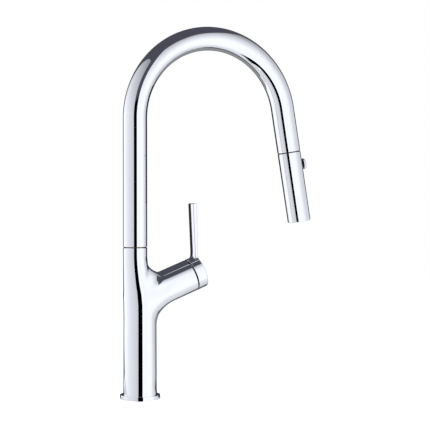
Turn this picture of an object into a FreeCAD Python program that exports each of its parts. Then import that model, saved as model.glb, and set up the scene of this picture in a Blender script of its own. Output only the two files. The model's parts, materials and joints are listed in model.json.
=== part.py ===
import FreeCAD, Part
import math
import os
import re
import Sketcher

# Pull-down kitchen faucet.
# Row frame: origin on the column's axis at the underside of the base ring, +Z up,
# and +X the way the spout and the handle branch point.  XZ is the faucet's mirror plane.
# Column frame: the row frame itself.
# Branch frame: origin where the branch axis leaves the column axis, local Z out along the
# branch, local X down and out, so the lever stands on the local -X side.
# Leg frame: origin on the seam between spout and spray wand, local Z down along the leg,
# local X towards the column, so the spray button is on the local -X side.

os.makedirs("parts", exist_ok=True)
doc = FreeCAD.newDocument("pull_down_faucet")
Vector = FreeCAD.Vector
UP = Vector(0, 0, 1)
ACROSS = Vector(0, 1, 0)

# Driving dimensions in millimetres and degrees.
SIZES = {
    # base and column
    "ring_radius": 23.5, "ring_height": 5.6, "ring_bevel": 0.8, "ring_bore": 17.6,
    "ring_recess": 21.9, "ring_lip": 2.2, "gasket_depth": 1.6,
    "foot_radius": 19.7, "column_radius": 19.2, "column_bore": 16.2,
    "shoulder_low": 97.0, "shoulder_high": 160.0,
    "neck_shift": 6.0, "neck_radius": 14.0, "neck_top": 175.8, "neck_bore": 12.0,
    "neck_bore_low": 142.0, "clip_chamber_low": 134.0, "clip_chamber_radius": 12.5,
    "hose_way": 10.5, "edge_bevel": 0.4, "crotch_low_radius": 26.0, "crotch_high_radius": 10.0,
    # fit allowances on a radius or a length
    "press_fit": 0.02, "slip_fit": 0.05, "close_fit": 0.1, "free_fit": 0.2, "loose_fit": 0.3,
    # mounting plug in the foot
    "plug_radius": 16.1, "plug_low": 1.2, "plug_high": 13.2, "pipe_seat": 2.0,
    "supply_across": 9.0, "supply_along": 0.5, "port_radius": 4.5,
    "outlet_along": 10.2, "outlet_across": 2.9,
    "stud_along": 9.2, "stud_across": 6.8, "stud_hole_radius": 3.4,
    "passage_back": 7.3, "passage_radius": 6.2,
    "pipe_radius": 4.0, "pipe_bore": 3.0, "pipe_bend": 16.0, "outlet_bend": 12.0,
    # branch and valve, measured along the branch axis
    "branch_height": 117.3, "branch_tilt": 21.2, "branch_radius": 19.2,
    "branch_length": 67.7, "branch_bore": 16.2, "bore_start": -2.0,
    "bonnet_seat": 62.0, "bonnet_radius": 18.2, "bonnet_hole": 9.2,
    "housing_start": 33.0, "housing_floor": 39.0, "housing_radius": 16.1,
    "case_pocket": 12.6, "nut_pocket": 14.0, "nut_start": 54.0, "nut_end": 61.6,
    "case_start": 39.6, "case_radius": 12.5, "case_bore": 10.6, "case_end": 53.8,
    "case_neck": 8.4, "fixed_disc_start": 44.0, "disc_plane": 47.4, "moving_disc_end": 51.0,
    "fixed_disc_radius": 10.4, "moving_disc_radius": 7.0, "carrier_start": 51.4,
    "carrier_head": 10.2, "carrier_neck": 8.2, "carrier_end": 63.0, "stem_way": 6.8,
    "supply_port_up": 3.0, "outlet_port_down": 7.5, "case_port_across": 6.6,
    "case_port_radius": 2.0,
    # handle
    "pivot_along": 59.1, "cap_start": 69.1, "cap_end": 81.3, "cap_rim_bore": 18.8,
    "cap_cavity_depth": 5.0, "cap_seat_radius": 17.2, "cap_seat_depth": 2.9,
    "cavity_floor_radius": 15.2, "cap_edge": 1.2,
    "socket_boss": 6.0, "socket_start": 71.2, "socket_end": 78.4,
    "stem_radius": 3.0, "stem_ball": 2.2, "stem_low": 48.9, "pin_radius": 1.2,
    "lever_x_low": 68.45, "lever_z_low": 158.0, "lever_x_high": 66.2, "lever_z_high": 226.6,
    "lever_width": 15.0, "lever_thick": 4.2, "lever_corner": 1.0,
    "root_width": 18.0, "root_thick": 5.6, "root_height": 14.0,
    "screw_along": 76.6, "screw_radius": 2.0, "screw_low": 3.2, "screw_high": 11.0,
    "plug_cap_low": 16.6,
    # spout
    "tube_radius": 14.0, "tube_bore": 12.8, "tube_low": 176.6, "spring_line": 325.4,
    "bend_radius": 96.0, "leg_tilt": 9.6, "leg_length": 53.7, "seam_half": 0.4,
    "stem_low_end": 138.0, "stem_high_end": 196.0, "journal_radius": 10.95,
    "stem_bore": 8.5, "socket_radius": 12.75, "groove_radius": 9.9,
    "seal_low": 152.0, "seal_high": 166.0, "seal_thick": 1.0,
    "bush_wall": 0.95, "bush_length": 6.0, "bush_low": 143.0, "bush_high": 169.0,
    "washer_thick": 0.6, "clip_low": 139.6, "clip_thick": 1.2, "clip_radius": 12.4,
    "hose_radius": 4.5, "hose_bore": 2.8, "hose_low": 2.0, "hose_gap": 24.0,
    # spray wand, measured along the leg from the seam
    "wand_radius": 14.0, "wand_length": 85.0, "wand_wall": 1.6, "wand_roof": 2.2,
    "collar_radius": 9.4, "collar_top": 12.0, "collar_low": 8.0, "dock_bore": 9.8,
    "dock_top": 22.0, "dock_flange": 13.4, "ferrule_radius": 5.6, "ferrule_top": 15.0,
    "core_radius": 12.2, "core_start": 8.2, "core_end": 67.5, "core_bore": 3.6,
    "manifold_start": 67.7, "manifold_end": 79.3, "plate_start": 79.5, "plate_end": 84.1,
    "aerator_radius": 6.6, "aerator_start": 72.5, "aerator_end": 84.4,
    "nozzle_ring": 9.8, "nozzle_radius": 0.7, "nozzle_high": 84.8,
    "valve_radius": 5.0, "valve_start": 58.5,
    # spray button, measured out from the wand's axis
    "button_centre": 16.0, "button_top": 18.5, "button_under": 16.8,
    "button_length": 12.8, "button_width": 9.6, "button_dome": 0.7,
    "plunger_length": 10.4, "plunger_width": 7.2, "plunger_in": 12.4,
    "bezel_length": 12.0, "bezel_width": 8.8, "bezel_bore_length": 11.0,
    "bezel_bore_width": 7.8, "bezel_in": 11.9, "bezel_out": 14.9,
    "spool_radius": 1.6, "spool_in": 1.2, "spool_way": 1.9,
    "spring_radius": 2.7, "spring_wire": 0.35, "spring_in": 6.2, "spring_turns": 5.0,
}
CARTRIDGE_PORT_SEAL = 3.2
NOZZLES = 24

sheet = doc.addObject("Spreadsheet::Sheet", "sizes")
for row, (alias, value) in enumerate(SIZES.items(), start=1):
    sheet.set(f"A{row}", alias)
    sheet.set(f"B{row}", str(value))
    sheet.setAlias(f"B{row}", alias)
doc.recompute()


def bound(text):
    """Prefix every size name in an expression with the sheet's name."""
    return re.sub(r"[a-z_]+", lambda word: "sizes." + word.group(0)
                  if word.group(0) in SIZES else word.group(0), text)


def size(alias):
    """The number held by one cell of the sheet."""
    return float(sheet.get(alias))


tilt = math.radians(size("branch_tilt"))
lean = math.radians(size("leg_tilt"))
arc_centre = Vector(size("bend_radius") - size("neck_shift"), 0, size("spring_line"))
leg_dir = Vector(math.sin(lean), 0, -math.cos(lean))
arc_end = arc_centre + Vector(math.cos(lean), 0, math.sin(lean)) * size("bend_radius")
seam = arc_end + leg_dir * size("leg_length")

COLUMN = FreeCAD.Placement()
NECK = FreeCAD.Placement(Vector(-size("neck_shift"), 0, 0), FreeCAD.Rotation())
BRANCH = FreeCAD.Placement(Vector(0, 0, size("branch_height")),
                           FreeCAD.Rotation(ACROSS, 90 - size("branch_tilt")))
LEG = FreeCAD.Placement(seam, FreeCAD.Rotation(ACROSS, 180 - size("leg_tilt")))

subparts = []


def keep(part, label):
    """Name a finished sub-part, so that it gets a file of its own."""
    part.Label = label
    subparts.append(part)
    return part


def plane(body, role):
    """One of a body's own origin planes."""
    return next(item for item in body.Origin.OriginFeatures if item.Role == role)


def new_sketch(body, name, role):
    """An empty sketch on one of the body's origin planes."""
    sketch = body.newObject("Sketcher::SketchObject", name)
    sketch.AttachmentSupport = [(plane(body, role), "")]
    sketch.MapMode = "FlatFace"
    return sketch


def drive(sketch, kind, target, start_value, expression):
    """Add a distance constraint bound to an expression of the sheet's sizes."""
    index = sketch.addConstraint(Sketcher.Constraint(kind, *target, start_value))
    sketch.setExpression(f"Constraints[{index}]", bound(expression))


def polygon(sketch, outline):
    """A closed outline whose corners are pairs of expressions of the sheet's sizes."""
    count = len(outline)
    first = len(sketch.Geometry)
    for index in range(count):
        angle = 2 * math.pi * index / count
        after = 2 * math.pi * (index + 1) / count
        sketch.addGeometry(Part.LineSegment(Vector(5 + math.cos(angle), 5 + math.sin(angle), 0),
                                            Vector(5 + math.cos(after), 5 + math.sin(after), 0)))
    for index in range(count):
        line = first + index
        sketch.addConstraint(Sketcher.Constraint("Coincident", line, 2,
                                                 first + (index + 1) % count, 1))
        across, along = outline[index]
        for kind, axis, text in (("DistanceX", -2, across), ("DistanceY", -1, along)):
            if text == "0":
                sketch.addConstraint(Sketcher.Constraint("PointOnObject", line, 1, axis))
            else:
                drive(sketch, kind, (-1, 1, line, 1), 5.0, text)


def circle(sketch, radius, across="0", along="0"):
    """A circle bound by its radius and its centre."""
    index = sketch.addGeometry(Part.Circle(Vector(1, 1, 0), Vector(0, 0, 1), 1.0))
    drive(sketch, "Radius", (index,), 1.0, radius)
    for kind, axis, text in (("DistanceX", -2, across), ("DistanceY", -1, along)):
        if text == "0":
            sketch.addConstraint(Sketcher.Constraint("PointOnObject", index, 3, axis))
        else:
            drive(sketch, kind, (-1, 1, index, 3), 1.0, text)


def turned_body(name, outline, place):
    """A body turned about its local Z axis from (radius, height) corners."""
    body = doc.addObject("PartDesign::Body", name)
    sketch = new_sketch(body, name + "_profile", "XZ_Plane")
    polygon(sketch, outline)
    turn = body.newObject("PartDesign::Revolution", name + "_turn")
    turn.Profile = sketch
    turn.ReferenceAxis = (sketch, ["V_Axis"])
    turn.Angle = 360.0
    body.Placement = place
    return body


def turned(label, outline, place=COLUMN):
    """A turned sub-part that is finished as it stands."""
    return keep(turned_body(label, outline, place), label)


def drill(body, name, holes, depth_low, depth_high):
    """Round holes along local Z between two heights: each hole is (radius, x, y)."""
    for number, (radius, across, along) in enumerate(holes):
        sketch = new_sketch(body, f"{name}_{number}_spot", "XY_Plane")
        sketch.setExpression("AttachmentOffset.Base.z", bound(depth_low))
        circle(sketch, radius, across, along)
        cut = body.newObject("PartDesign::Pocket", f"{name}_{number}")
        cut.Profile = sketch
        cut.Reversed = True
        cut.setExpression("Length", bound(f"({depth_high}) - ({depth_low})"))
    return body


def ring_outline(inner, outer, low, high):
    """The four corners of a plain ring or, with inner "0", of a plain disc."""
    return [(inner, low), (outer, low), (outer, high), (inner, high)]


def slot_outline(sketch, length, width):
    """A slot centred on the origin with its length along the sketch's vertical axis."""
    left = sketch.addGeometry(Part.LineSegment(Vector(-2, 2, 0), Vector(-2, -2, 0)))
    low = sketch.addGeometry(Part.ArcOfCircle(
        Part.Circle(Vector(0, -2, 0), Vector(0, 0, 1), 2), math.pi, 2 * math.pi))
    right = sketch.addGeometry(Part.LineSegment(Vector(2, -2, 0), Vector(2, 2, 0)))
    high = sketch.addGeometry(Part.ArcOfCircle(
        Part.Circle(Vector(0, 2, 0), Vector(0, 0, 1), 2), 0, math.pi))
    for one, two, end_one, end_two in ((left, low, 2, 1), (low, right, 2, 1),
                                       (right, high, 2, 1), (high, left, 2, 1)):
        sketch.addConstraint(Sketcher.Constraint("Tangent", one, end_one, two, end_two))
    sketch.addConstraint(Sketcher.Constraint("PointOnObject", low, 3, -2))
    sketch.addConstraint(Sketcher.Constraint("Symmetric", low, 3, high, 3, -1, 1))
    drive(sketch, "Radius", (low,), 2.0, f"({width}) / 2")
    drive(sketch, "DistanceY", (low, 3, high, 3), 4.0, f"({length}) - ({width})")


def button_layer(body, name, kind, outer, inner, start, end):
    """Pad or cut a slot that faces out of the wand, between two distances from its axis.

    Local Z is the way out of the wand and local Y runs along it.
    """
    sketch = new_sketch(body, name + "_outline", "XY_Plane")
    sketch.setExpression("AttachmentOffset.Base.z", bound(start))
    slot_outline(sketch, *outer)
    if inner:
        slot_outline(sketch, *inner)
    feature = body.newObject("PartDesign::" + kind, name)
    feature.Profile = sketch
    feature.setExpression("Length", bound(f"({end}) - ({start})"))
    if kind == "Pocket":
        feature.Reversed = True
    return feature


def spine(body, name, corner_x, low, corner_z, bend, turn, run):
    """A path in XZ: up from a height, round an arc over +X, and straight on.

    turn is the angle of the arc in degrees and run is the straight length after it.
    """
    sketch = new_sketch(body, name, "XZ_Plane")
    start_z, arc_z, radius = low[1], corner_z[1], bend[1]
    middle = Vector(corner_x[1] + radius, arc_z, 0)
    angle = math.pi - math.radians(turn[1])
    rise = sketch.addGeometry(Part.LineSegment(Vector(corner_x[1], start_z, 0),
                                               Vector(corner_x[1], arc_z, 0)))
    arc = sketch.addGeometry(Part.ArcOfCircle(
        Part.Circle(middle, Vector(0, 0, 1), radius), angle, math.pi))
    away = Vector(math.sin(angle), -math.cos(angle), 0)
    begin = middle + Vector(math.cos(angle), math.sin(angle), 0) * radius
    line = sketch.addGeometry(Part.LineSegment(begin, begin + away * run[1]))
    sketch.addConstraint(Sketcher.Constraint("Vertical", rise))
    sketch.addConstraint(Sketcher.Constraint("Tangent", rise, 2, arc, 2))
    sketch.addConstraint(Sketcher.Constraint("Tangent", arc, 1, line, 1))
    drive(sketch, "Radius", (arc,), radius, bend[0])
    drive(sketch, "DistanceX", (-1, 1, rise, 1), corner_x[1], corner_x[0])
    drive(sketch, "DistanceY", (-1, 1, rise, 1), start_z, low[0])
    drive(sketch, "DistanceY", (-1, 1, rise, 2), arc_z, corner_z[0])
    drive(sketch, "Distance", (line,), run[1], run[0])
    index = sketch.addConstraint(Sketcher.Constraint("Angle", arc, math.radians(turn[1])))
    sketch.setExpression(f"Constraints[{index}]", bound(turn[0]))
    return sketch


def bent_tube(label, outer, bore, path, place=COLUMN):
    """A tube swept along a spine: path holds the spine's (expression, value) pairs."""
    body = doc.addObject("PartDesign::Body", label)
    way = spine(body, label + "_path", *path)
    section = new_sketch(body, label + "_section", "XY_Plane")
    section.setExpression("AttachmentOffset.Base.z", bound(path[1][0]))
    circle(section, outer, path[0][0])
    circle(section, bore, path[0][0])
    pipe = body.newObject("PartDesign::AdditivePipe", label + "_pipe")
    pipe.Profile = section
    pipe.Spine = way
    body.Placement = place
    return keep(body, label)


# ---------------------------------------------------------------- base and column

turned("base_ring", [
    ("ring_recess", "0"), ("ring_radius", "0"), ("ring_radius", "ring_height - ring_bevel"),
    ("ring_radius - ring_bevel", "ring_height"), ("ring_bore", "ring_height"),
    ("ring_bore", "ring_height - ring_lip"), ("ring_recess", "ring_height - ring_lip")])

turned("base_gasket", ring_outline("ring_bore", "ring_recess - close_fit", "0", "gasket_depth"))

# The casting's outside: round sections from the foot to the neck, whose centre moves back
# over the shoulder while the radius shrinks, then the branch, fused and filleted.
SHOULDER_STEPS = 8
sections = []
stations = [("ring_height", "foot_radius", "0"),
            ("shoulder_low / 2", "(foot_radius + column_radius) / 2", "0")]
for step in range(SHOULDER_STEPS + 1):
    part_way = step / SHOULDER_STEPS
    eased = part_way * part_way * (3 - 2 * part_way)
    stations.append((f"shoulder_low + {part_way} * (shoulder_high - shoulder_low)",
                     f"column_radius - {eased} * (column_radius - neck_radius)",
                     f"-{eased} * neck_shift"))
for number, (height, radius, shift) in enumerate(stations):
    ring = doc.addObject("Part::Circle", f"column_section_{number}")
    ring.setExpression("Radius", bound(radius))
    ring.setExpression("Placement.Base.x", bound(shift))
    ring.setExpression("Placement.Base.z", bound(height))
    sections.append(ring)


def loft(name, rings, ruled=False):
    """A solid through closed sections."""
    body = doc.addObject("Part::Loft", name)
    body.Sections = rings
    body.Solid = True
    body.Ruled = ruled
    return body


foot = loft("foot_and_column", sections[:3])
shoulder = loft("shoulder_and_neck", sections[2:])
neck = doc.addObject("Part::Cylinder", "neck_cylinder")
neck.setExpression("Radius", bound("neck_radius"))
neck.setExpression("Height", bound("neck_top - shoulder_high - edge_bevel"))
neck.setExpression("Placement.Base.x", bound("-neck_shift"))
neck.setExpression("Placement.Base.z", bound("shoulder_high"))
neck_edge = doc.addObject("Part::Cone", "neck_edge")
neck_edge.setExpression("Radius1", bound("neck_radius"))
neck_edge.setExpression("Radius2", bound("neck_radius - edge_bevel"))
neck_edge.setExpression("Height", bound("edge_bevel"))
neck_edge.setExpression("Placement.Base.x", bound("-neck_shift"))
neck_edge.setExpression("Placement.Base.z", bound("neck_top - edge_bevel"))


def cylinder(name, radius, low, high, place=COLUMN):
    """A cylinder along the frame's local Z between two heights."""
    item = doc.addObject("Part::Cylinder", name)
    item.setExpression("Radius", bound(radius))
    item.setExpression("Height", bound(f"({high}) - ({low})"))
    shift = place.Rotation.multVec(UP)
    item.Placement = place
    for axis, part in zip("xyz", shift):
        base = getattr(place.Base, axis)
        item.setExpression(f"Placement.Base.{axis}", bound(f"{base} + {part} * ({low})"))
    return item


def joined(name, kind, pieces):
    """A multi-fuse or a cut of two objects."""
    item = doc.addObject("Part::" + kind, name)
    if kind == "MultiFuse":
        item.Shapes = pieces
    else:
        item.Base, item.Tool = pieces
    return item


branch = cylinder("branch_cylinder", "branch_radius", "0", "branch_length - edge_bevel", BRANCH)
branch_edge = doc.addObject("Part::Cone", "branch_edge")
branch_edge.setExpression("Radius1", bound("branch_radius"))
branch_edge.setExpression("Radius2", bound("branch_radius - edge_bevel"))
branch_edge.setExpression("Height", bound("edge_bevel"))
branch_edge.Placement = FreeCAD.Placement(
    BRANCH.multVec(UP * (size("branch_length") - size("edge_bevel"))), BRANCH.Rotation)
spigot = cylinder("foot_spigot", "ring_bore - close_fit", "gasket_depth", "ring_height")
branch_root = doc.addObject("Part::Sphere", "branch_root")
branch_root.setExpression("Radius", bound("branch_radius"))
branch_root.Placement.Base = BRANCH.Base
sharp = joined("casting_outside", "MultiFuse",
               [foot, shoulder, neck, neck_edge, branch, branch_edge, branch_root, spigot])
doc.recompute()


def crotch_edges(shape):
    """The edges where the branch leaves the shoulder, each with its fillet radius."""
    found = []
    for number, edge in enumerate(shape.Edges, start=1):
        faces = shape.ancestorsOfType(edge, Part.Face)
        kinds = sorted(face.Surface.TypeId for face in faces)
        height = edge.CenterOfMass.z
        meets = kinds == ["Part::GeomBSplineSurface", "Part::GeomCylinder"]
        if meets and size("shoulder_low") < height < size("shoulder_high") - 1:
            below = height < size("branch_height")
            radius = size("crotch_low_radius" if below else "crotch_high_radius")
            found.append((number, radius, radius))
    return found


outside = doc.addObject("Part::Fillet", "casting_filleted")
outside.Base = sharp
outside.Edges = crotch_edges(sharp.Shape)
hollows = joined("casting_hollows", "MultiFuse", [
    cylinder("column_hollow", "column_bore", "0", "branch_height + 2"),
    cylinder("hose_hollow", "hose_way", "0", "neck_top + 1", NECK),
    cylinder("clip_hollow", "clip_chamber_radius", "clip_chamber_low", "neck_bore_low", NECK),
    cylinder("neck_hollow", "neck_bore", "neck_bore_low", "neck_top + 1", NECK),
    cylinder("branch_hollow", "branch_bore", "bore_start", "branch_length + 1", BRANCH),
    cylinder("bonnet_hollow", "bonnet_radius", "bonnet_seat", "branch_length + 1", BRANCH)])
keep(joined("body_casting_solid", "Cut", [outside, hollows]), "body_casting")

plug = turned_body("mounting_plug", ring_outline("0", "plug_radius", "plug_low", "plug_high"),
                   COLUMN)
drill(plug, "plug_hole", [
    ("port_radius", "supply_along", "-supply_across"),
    ("port_radius", "supply_along", "supply_across"),
    ("port_radius", "outlet_along", "outlet_across")], "plug_low", "plug_high - pipe_seat")
drill(plug, "plug_passage", [
    ("pipe_radius", "supply_along", "-supply_across"),
    ("pipe_radius", "supply_along", "supply_across"),
    ("pipe_radius", "outlet_along", "outlet_across"),
    ("stud_hole_radius", "stud_along", "-stud_across"),
    ("passage_radius", "-passage_back", "0")], "plug_low", "plug_high")
keep(plug, "mounting_plug")


def valve_pipe(label, along, across, port_up, bend):
    """A brass pipe from the mounting plug up and round into the valve housing's floor."""
    up_way = Vector(-math.sin(tilt), 0, math.cos(tilt))
    out_way = Vector(math.cos(tilt), 0, math.sin(tilt))
    end = BRANCH.Base + out_way * size("housing_start") + up_way * port_up
    reach = (end.x - along) / math.cos(tilt)
    corner_z = end.z - reach * math.sin(tilt)
    turn = 90 - size("branch_tilt")
    bite = bend * math.tan(math.radians(turn) / 2)
    path = ((f"{along}", along), ("plug_high - pipe_seat", size("plug_high") - size("pipe_seat")),
            (f"{corner_z - bite}", corner_z - bite), (f"{bend}", bend),
            ("90 deg - branch_tilt * 1 deg", turn), (f"{reach - bite}", reach - bite))
    place = FreeCAD.Placement(Vector(0, across, 0), FreeCAD.Rotation())
    return bent_tube(label, "pipe_radius", "pipe_bore", path, place)


valve_pipe("hot_inlet_pipe", size("supply_along"), -size("supply_across"),
           size("supply_port_up"), size("pipe_bend"))
valve_pipe("cold_inlet_pipe", size("supply_along"), size("supply_across"),
           size("supply_port_up"), size("pipe_bend"))
valve_pipe("mixed_outlet_pipe", size("outlet_along"), size("outlet_across"),
           -size("outlet_port_down"), size("outlet_bend"))

# ---------------------------------------------------------------- valve in the branch

housing = turned_body("valve_housing", [
    ("0", "housing_start"), ("housing_radius", "housing_start"),
    ("housing_radius", "nut_end + free_fit"), ("nut_pocket", "nut_end + free_fit"),
    ("nut_pocket", "nut_start"), ("case_pocket", "nut_start"),
    ("case_pocket", "housing_floor"), ("0", "housing_floor")], BRANCH)
drill(housing, "housing_port", [
    ("pipe_bore", "-supply_port_up", "-supply_across"),
    ("pipe_bore", "-supply_port_up", "supply_across"),
    ("pipe_bore", "outlet_port_down", "outlet_across")], "housing_start", "housing_floor")
keep(housing, "valve_housing")

case = turned_body("cartridge_case", [
    ("0", "case_start"), ("case_radius", "case_start"), ("case_radius", "case_end"),
    ("case_neck", "case_end"), ("case_neck", "case_end - 1.6"), ("case_bore", "case_end - 1.6"),
    ("case_bore", "fixed_disc_start"), ("0", "fixed_disc_start")], BRANCH)
CASE_PORTS = [("case_port_radius", "-supply_port_up", "-case_port_across"),
              ("case_port_radius", "-supply_port_up", "case_port_across"),
              ("case_port_radius", "outlet_port_down - 1", "0")]
drill(case, "case_port", CASE_PORTS, "case_start", "fixed_disc_start")
keep(case, "cartridge_case")

seals = doc.addObject("PartDesign::Body", "port_seals")
for number, (radius, across, along) in enumerate(CASE_PORTS):
    spot = new_sketch(seals, f"port_seal_{number}_section", "XY_Plane")
    spot.setExpression("AttachmentOffset.Base.z", bound("housing_floor"))
    circle(spot, f"{CARTRIDGE_PORT_SEAL}", across, along)
    circle(spot, radius, across, along)
    pad = seals.newObject("PartDesign::Pad", f"port_seal_{number}")
    pad.Profile = spot
    pad.AllowMultiFace = True
    pad.setExpression("Length", bound("case_start - housing_floor"))
seals.AllowCompound = True
seals.Placement = BRANCH
keep(seals, "cartridge_port_seals")

disc = turned_body("fixed_disc", ring_outline("0", "fixed_disc_radius", "fixed_disc_start",
                                              "disc_plane"), BRANCH)
drill(disc, "disc_port", CASE_PORTS, "fixed_disc_start", "disc_plane")
keep(disc, "fixed_disc")

disc = turned_body("moving_disc", ring_outline("0", "moving_disc_radius", "disc_plane",
                                               "moving_disc_end"), BRANCH)
drill(disc, "drive_hole", [("stem_ball + 0.6", "0", "0")], "stem_low - 0.4", "moving_disc_end")
keep(disc, "moving_disc")

carrier = turned_body("carrier_turned", [
    ("0", "carrier_start"), ("carrier_head", "carrier_start"),
    ("carrier_head", "case_end - 1.8"), ("carrier_neck", "case_end - 1.8"),
    ("carrier_neck", "carrier_end"), ("0", "carrier_end")], BRANCH)
window = new_sketch(carrier, "stem_window_outline", "XY_Plane")
window.setExpression("AttachmentOffset.Base.z", bound("carrier_start"))
slot = [("-stem_way", "-stem_radius - free_fit"), ("stem_way", "-stem_radius - free_fit"),
        ("stem_way", "stem_radius + free_fit"), ("-stem_way", "stem_radius + free_fit")]
polygon(window, slot)
cut = carrier.newObject("PartDesign::Pocket", "stem_window")
cut.Profile = window
cut.Reversed = True
cut.setExpression("Length", bound("carrier_end - carrier_start"))
PIN = FreeCAD.Placement(BRANCH.multVec(UP * size("pivot_along")),
                        FreeCAD.Rotation(Vector(1, 0, 0), 90))
carrier_pin_hole = cylinder("carrier_pin_hole", "pin_radius", "-carrier_head", "carrier_head", PIN)
keep(joined("carrier_solid", "Cut", [carrier, carrier_pin_hole]), "cartridge_carrier")
keep(cylinder("pin_rod", "pin_radius", "-carrier_neck + loose_fit", "carrier_neck - loose_fit", PIN),
     "stem_pin")

turned("cartridge_nut", [
    ("case_neck + free_fit", "nut_start"), ("nut_pocket - slip_fit", "nut_start"),
    ("nut_pocket - slip_fit", "nut_end"), ("case_neck + free_fit", "nut_end")], BRANCH)

turned("bonnet_ring", [
    ("bonnet_hole", "bonnet_seat"), ("bonnet_radius - slip_fit", "bonnet_seat"),
    ("bonnet_radius - slip_fit", "branch_length - 0.6"), ("bonnet_hole", "branch_length - free_fit")],
    BRANCH)

# ---------------------------------------------------------------- handle

cap = turned_body("handle_cap", [
    ("cap_rim_bore", "cap_start"), ("branch_radius", "cap_start"),
    ("branch_radius", "cap_end - cap_edge"), ("branch_radius - 0.35 * cap_edge",
                                              "cap_end - 0.35 * cap_edge"),
    ("branch_radius - cap_edge", "cap_end"), ("0", "cap_end"), ("0", "socket_end"),
    ("stem_radius + press_fit", "socket_end"), ("stem_radius + press_fit", "socket_start"),
    ("socket_boss", "socket_start"), ("socket_boss", "cap_start + cap_cavity_depth"),
    ("cavity_floor_radius", "cap_start + cap_cavity_depth"),
    ("cap_seat_radius", "cap_start + cap_seat_depth")], BRANCH)

lever_foot = Vector(size("lever_x_low"), 0, size("lever_z_low"))
lever_top = Vector(size("lever_x_high"), 0, size("lever_z_high"))
lever_way = (lever_top - lever_foot).normalize()
lever_turn = FreeCAD.Rotation(ACROSS, math.degrees(math.atan2(lever_way.x, lever_way.z)))


def lever_section(name, height, thick, width):
    """A rounded rectangle across the lever at a height above its foot."""
    body = doc.addObject("Sketcher::SketchObject", name)
    corner = size("lever_corner")
    half_x, half_y = thick / 2, width / 2
    spots = []
    for side_x, side_y, turn in ((1, 1, 0), (-1, 1, 90), (-1, -1, 180), (1, -1, 270)):
        centre = Vector(side_x * (half_x - corner), side_y * (half_y - corner), 0)
        low = math.radians(turn)
        spots.append(Part.ArcOfCircle(Part.Circle(centre, Vector(0, 0, 1), corner),
                                      low, low + math.pi / 2))
    for index, arc in enumerate(spots):
        body.addGeometry(arc)
        body.addGeometry(Part.LineSegment(arc.EndPoint, spots[(index + 1) % 4].StartPoint))
    body.Placement = FreeCAD.Placement(lever_foot + lever_way * height, lever_turn)
    return body


lever_length = (lever_top - lever_foot).Length
lever = loft("lever_blade", [
    lever_section("lever_root", 0, size("root_thick"), size("root_width")),
    lever_section("lever_flare", size("root_height"), size("lever_thick") + 0.3,
                  size("lever_width") + 0.4),
    lever_section("lever_middle", lever_length * 0.6, size("lever_thick"),
                  size("lever_width")),
    lever_section("lever_end", lever_length, size("lever_thick"), size("lever_width"))])
SCREW = FreeCAD.Placement(
    BRANCH.multVec(UP * size("screw_along")),
    BRANCH.Rotation.multiply(FreeCAD.Rotation(ACROSS, 90)))
screw_way = cylinder("screw_way", "screw_radius + slip_fit", "stem_radius - 0.5",
                     "branch_radius + 1", SCREW)
keep(joined("handle_solid", "Cut", [joined("handle_metal", "MultiFuse", [cap, lever]),
                                    screw_way]), "handle")

stem = turned_body("stem_turned", [
    ("0", "stem_low"), ("stem_ball - 0.7", "stem_low"), ("stem_ball", "stem_low + 0.7"),
    ("stem_ball", "stem_low + 2.2"), ("stem_radius", "stem_low + 4"),
    ("stem_radius", "socket_end - close_fit"), ("0", "socket_end - close_fit")], BRANCH)
stem_pin_hole = cylinder("stem_pin_hole", "pin_radius + slip_fit", "-carrier_head", "carrier_head",
                         PIN)
keep(joined("stem_solid", "Cut", [stem, stem_pin_hole]), "valve_stem")

screw = turned_body("grub_screw", ring_outline("0", "screw_radius", "screw_low", "screw_high"),
                    SCREW)
hex_key = new_sketch(screw, "hex_outline", "XY_Plane")
hex_key.setExpression("AttachmentOffset.Base.z", bound("screw_high - 2"))
KEY_RADIUS = 1.15
corners = [(f"{KEY_RADIUS * math.cos(math.pi * k / 3):.4f}",
            "0" if k % 3 == 0 else f"{KEY_RADIUS * math.sin(math.pi * k / 3):.4f}")
           for k in range(6)]
polygon(hex_key, corners)
cut = screw.newObject("PartDesign::Pocket", "hex_socket")
cut.Profile = hex_key
cut.Reversed = True
cut.Length = 2.0
keep(screw, "handle_set_screw")

turned("screw_hole_plug", ring_outline("0", "screw_radius + press_fit", "plug_cap_low",
                                       "branch_radius - close_fit"), SCREW)

# ---------------------------------------------------------------- spout

half_turn = 180 - size("leg_tilt")
NECK_X = ("-neck_shift", -size("neck_shift"))
TUBE_PATH = (NECK_X, ("tube_low", size("tube_low")), ("spring_line", size("spring_line")),
             ("bend_radius", size("bend_radius")), ("180 deg - leg_tilt * 1 deg", half_turn),
             ("leg_length - seam_half", size("leg_length") - size("seam_half")))
bent_tube("spout_tube", "tube_radius", "tube_bore", TUBE_PATH)
HOSE_PATH = (NECK_X, ("hose_low", size("hose_low"))) + TUBE_PATH[2:5] + (
    ("leg_length - hose_gap", size("leg_length") - size("hose_gap")),)
bent_tube("spray_hose", "hose_radius", "hose_bore", HOSE_PATH)

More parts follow.
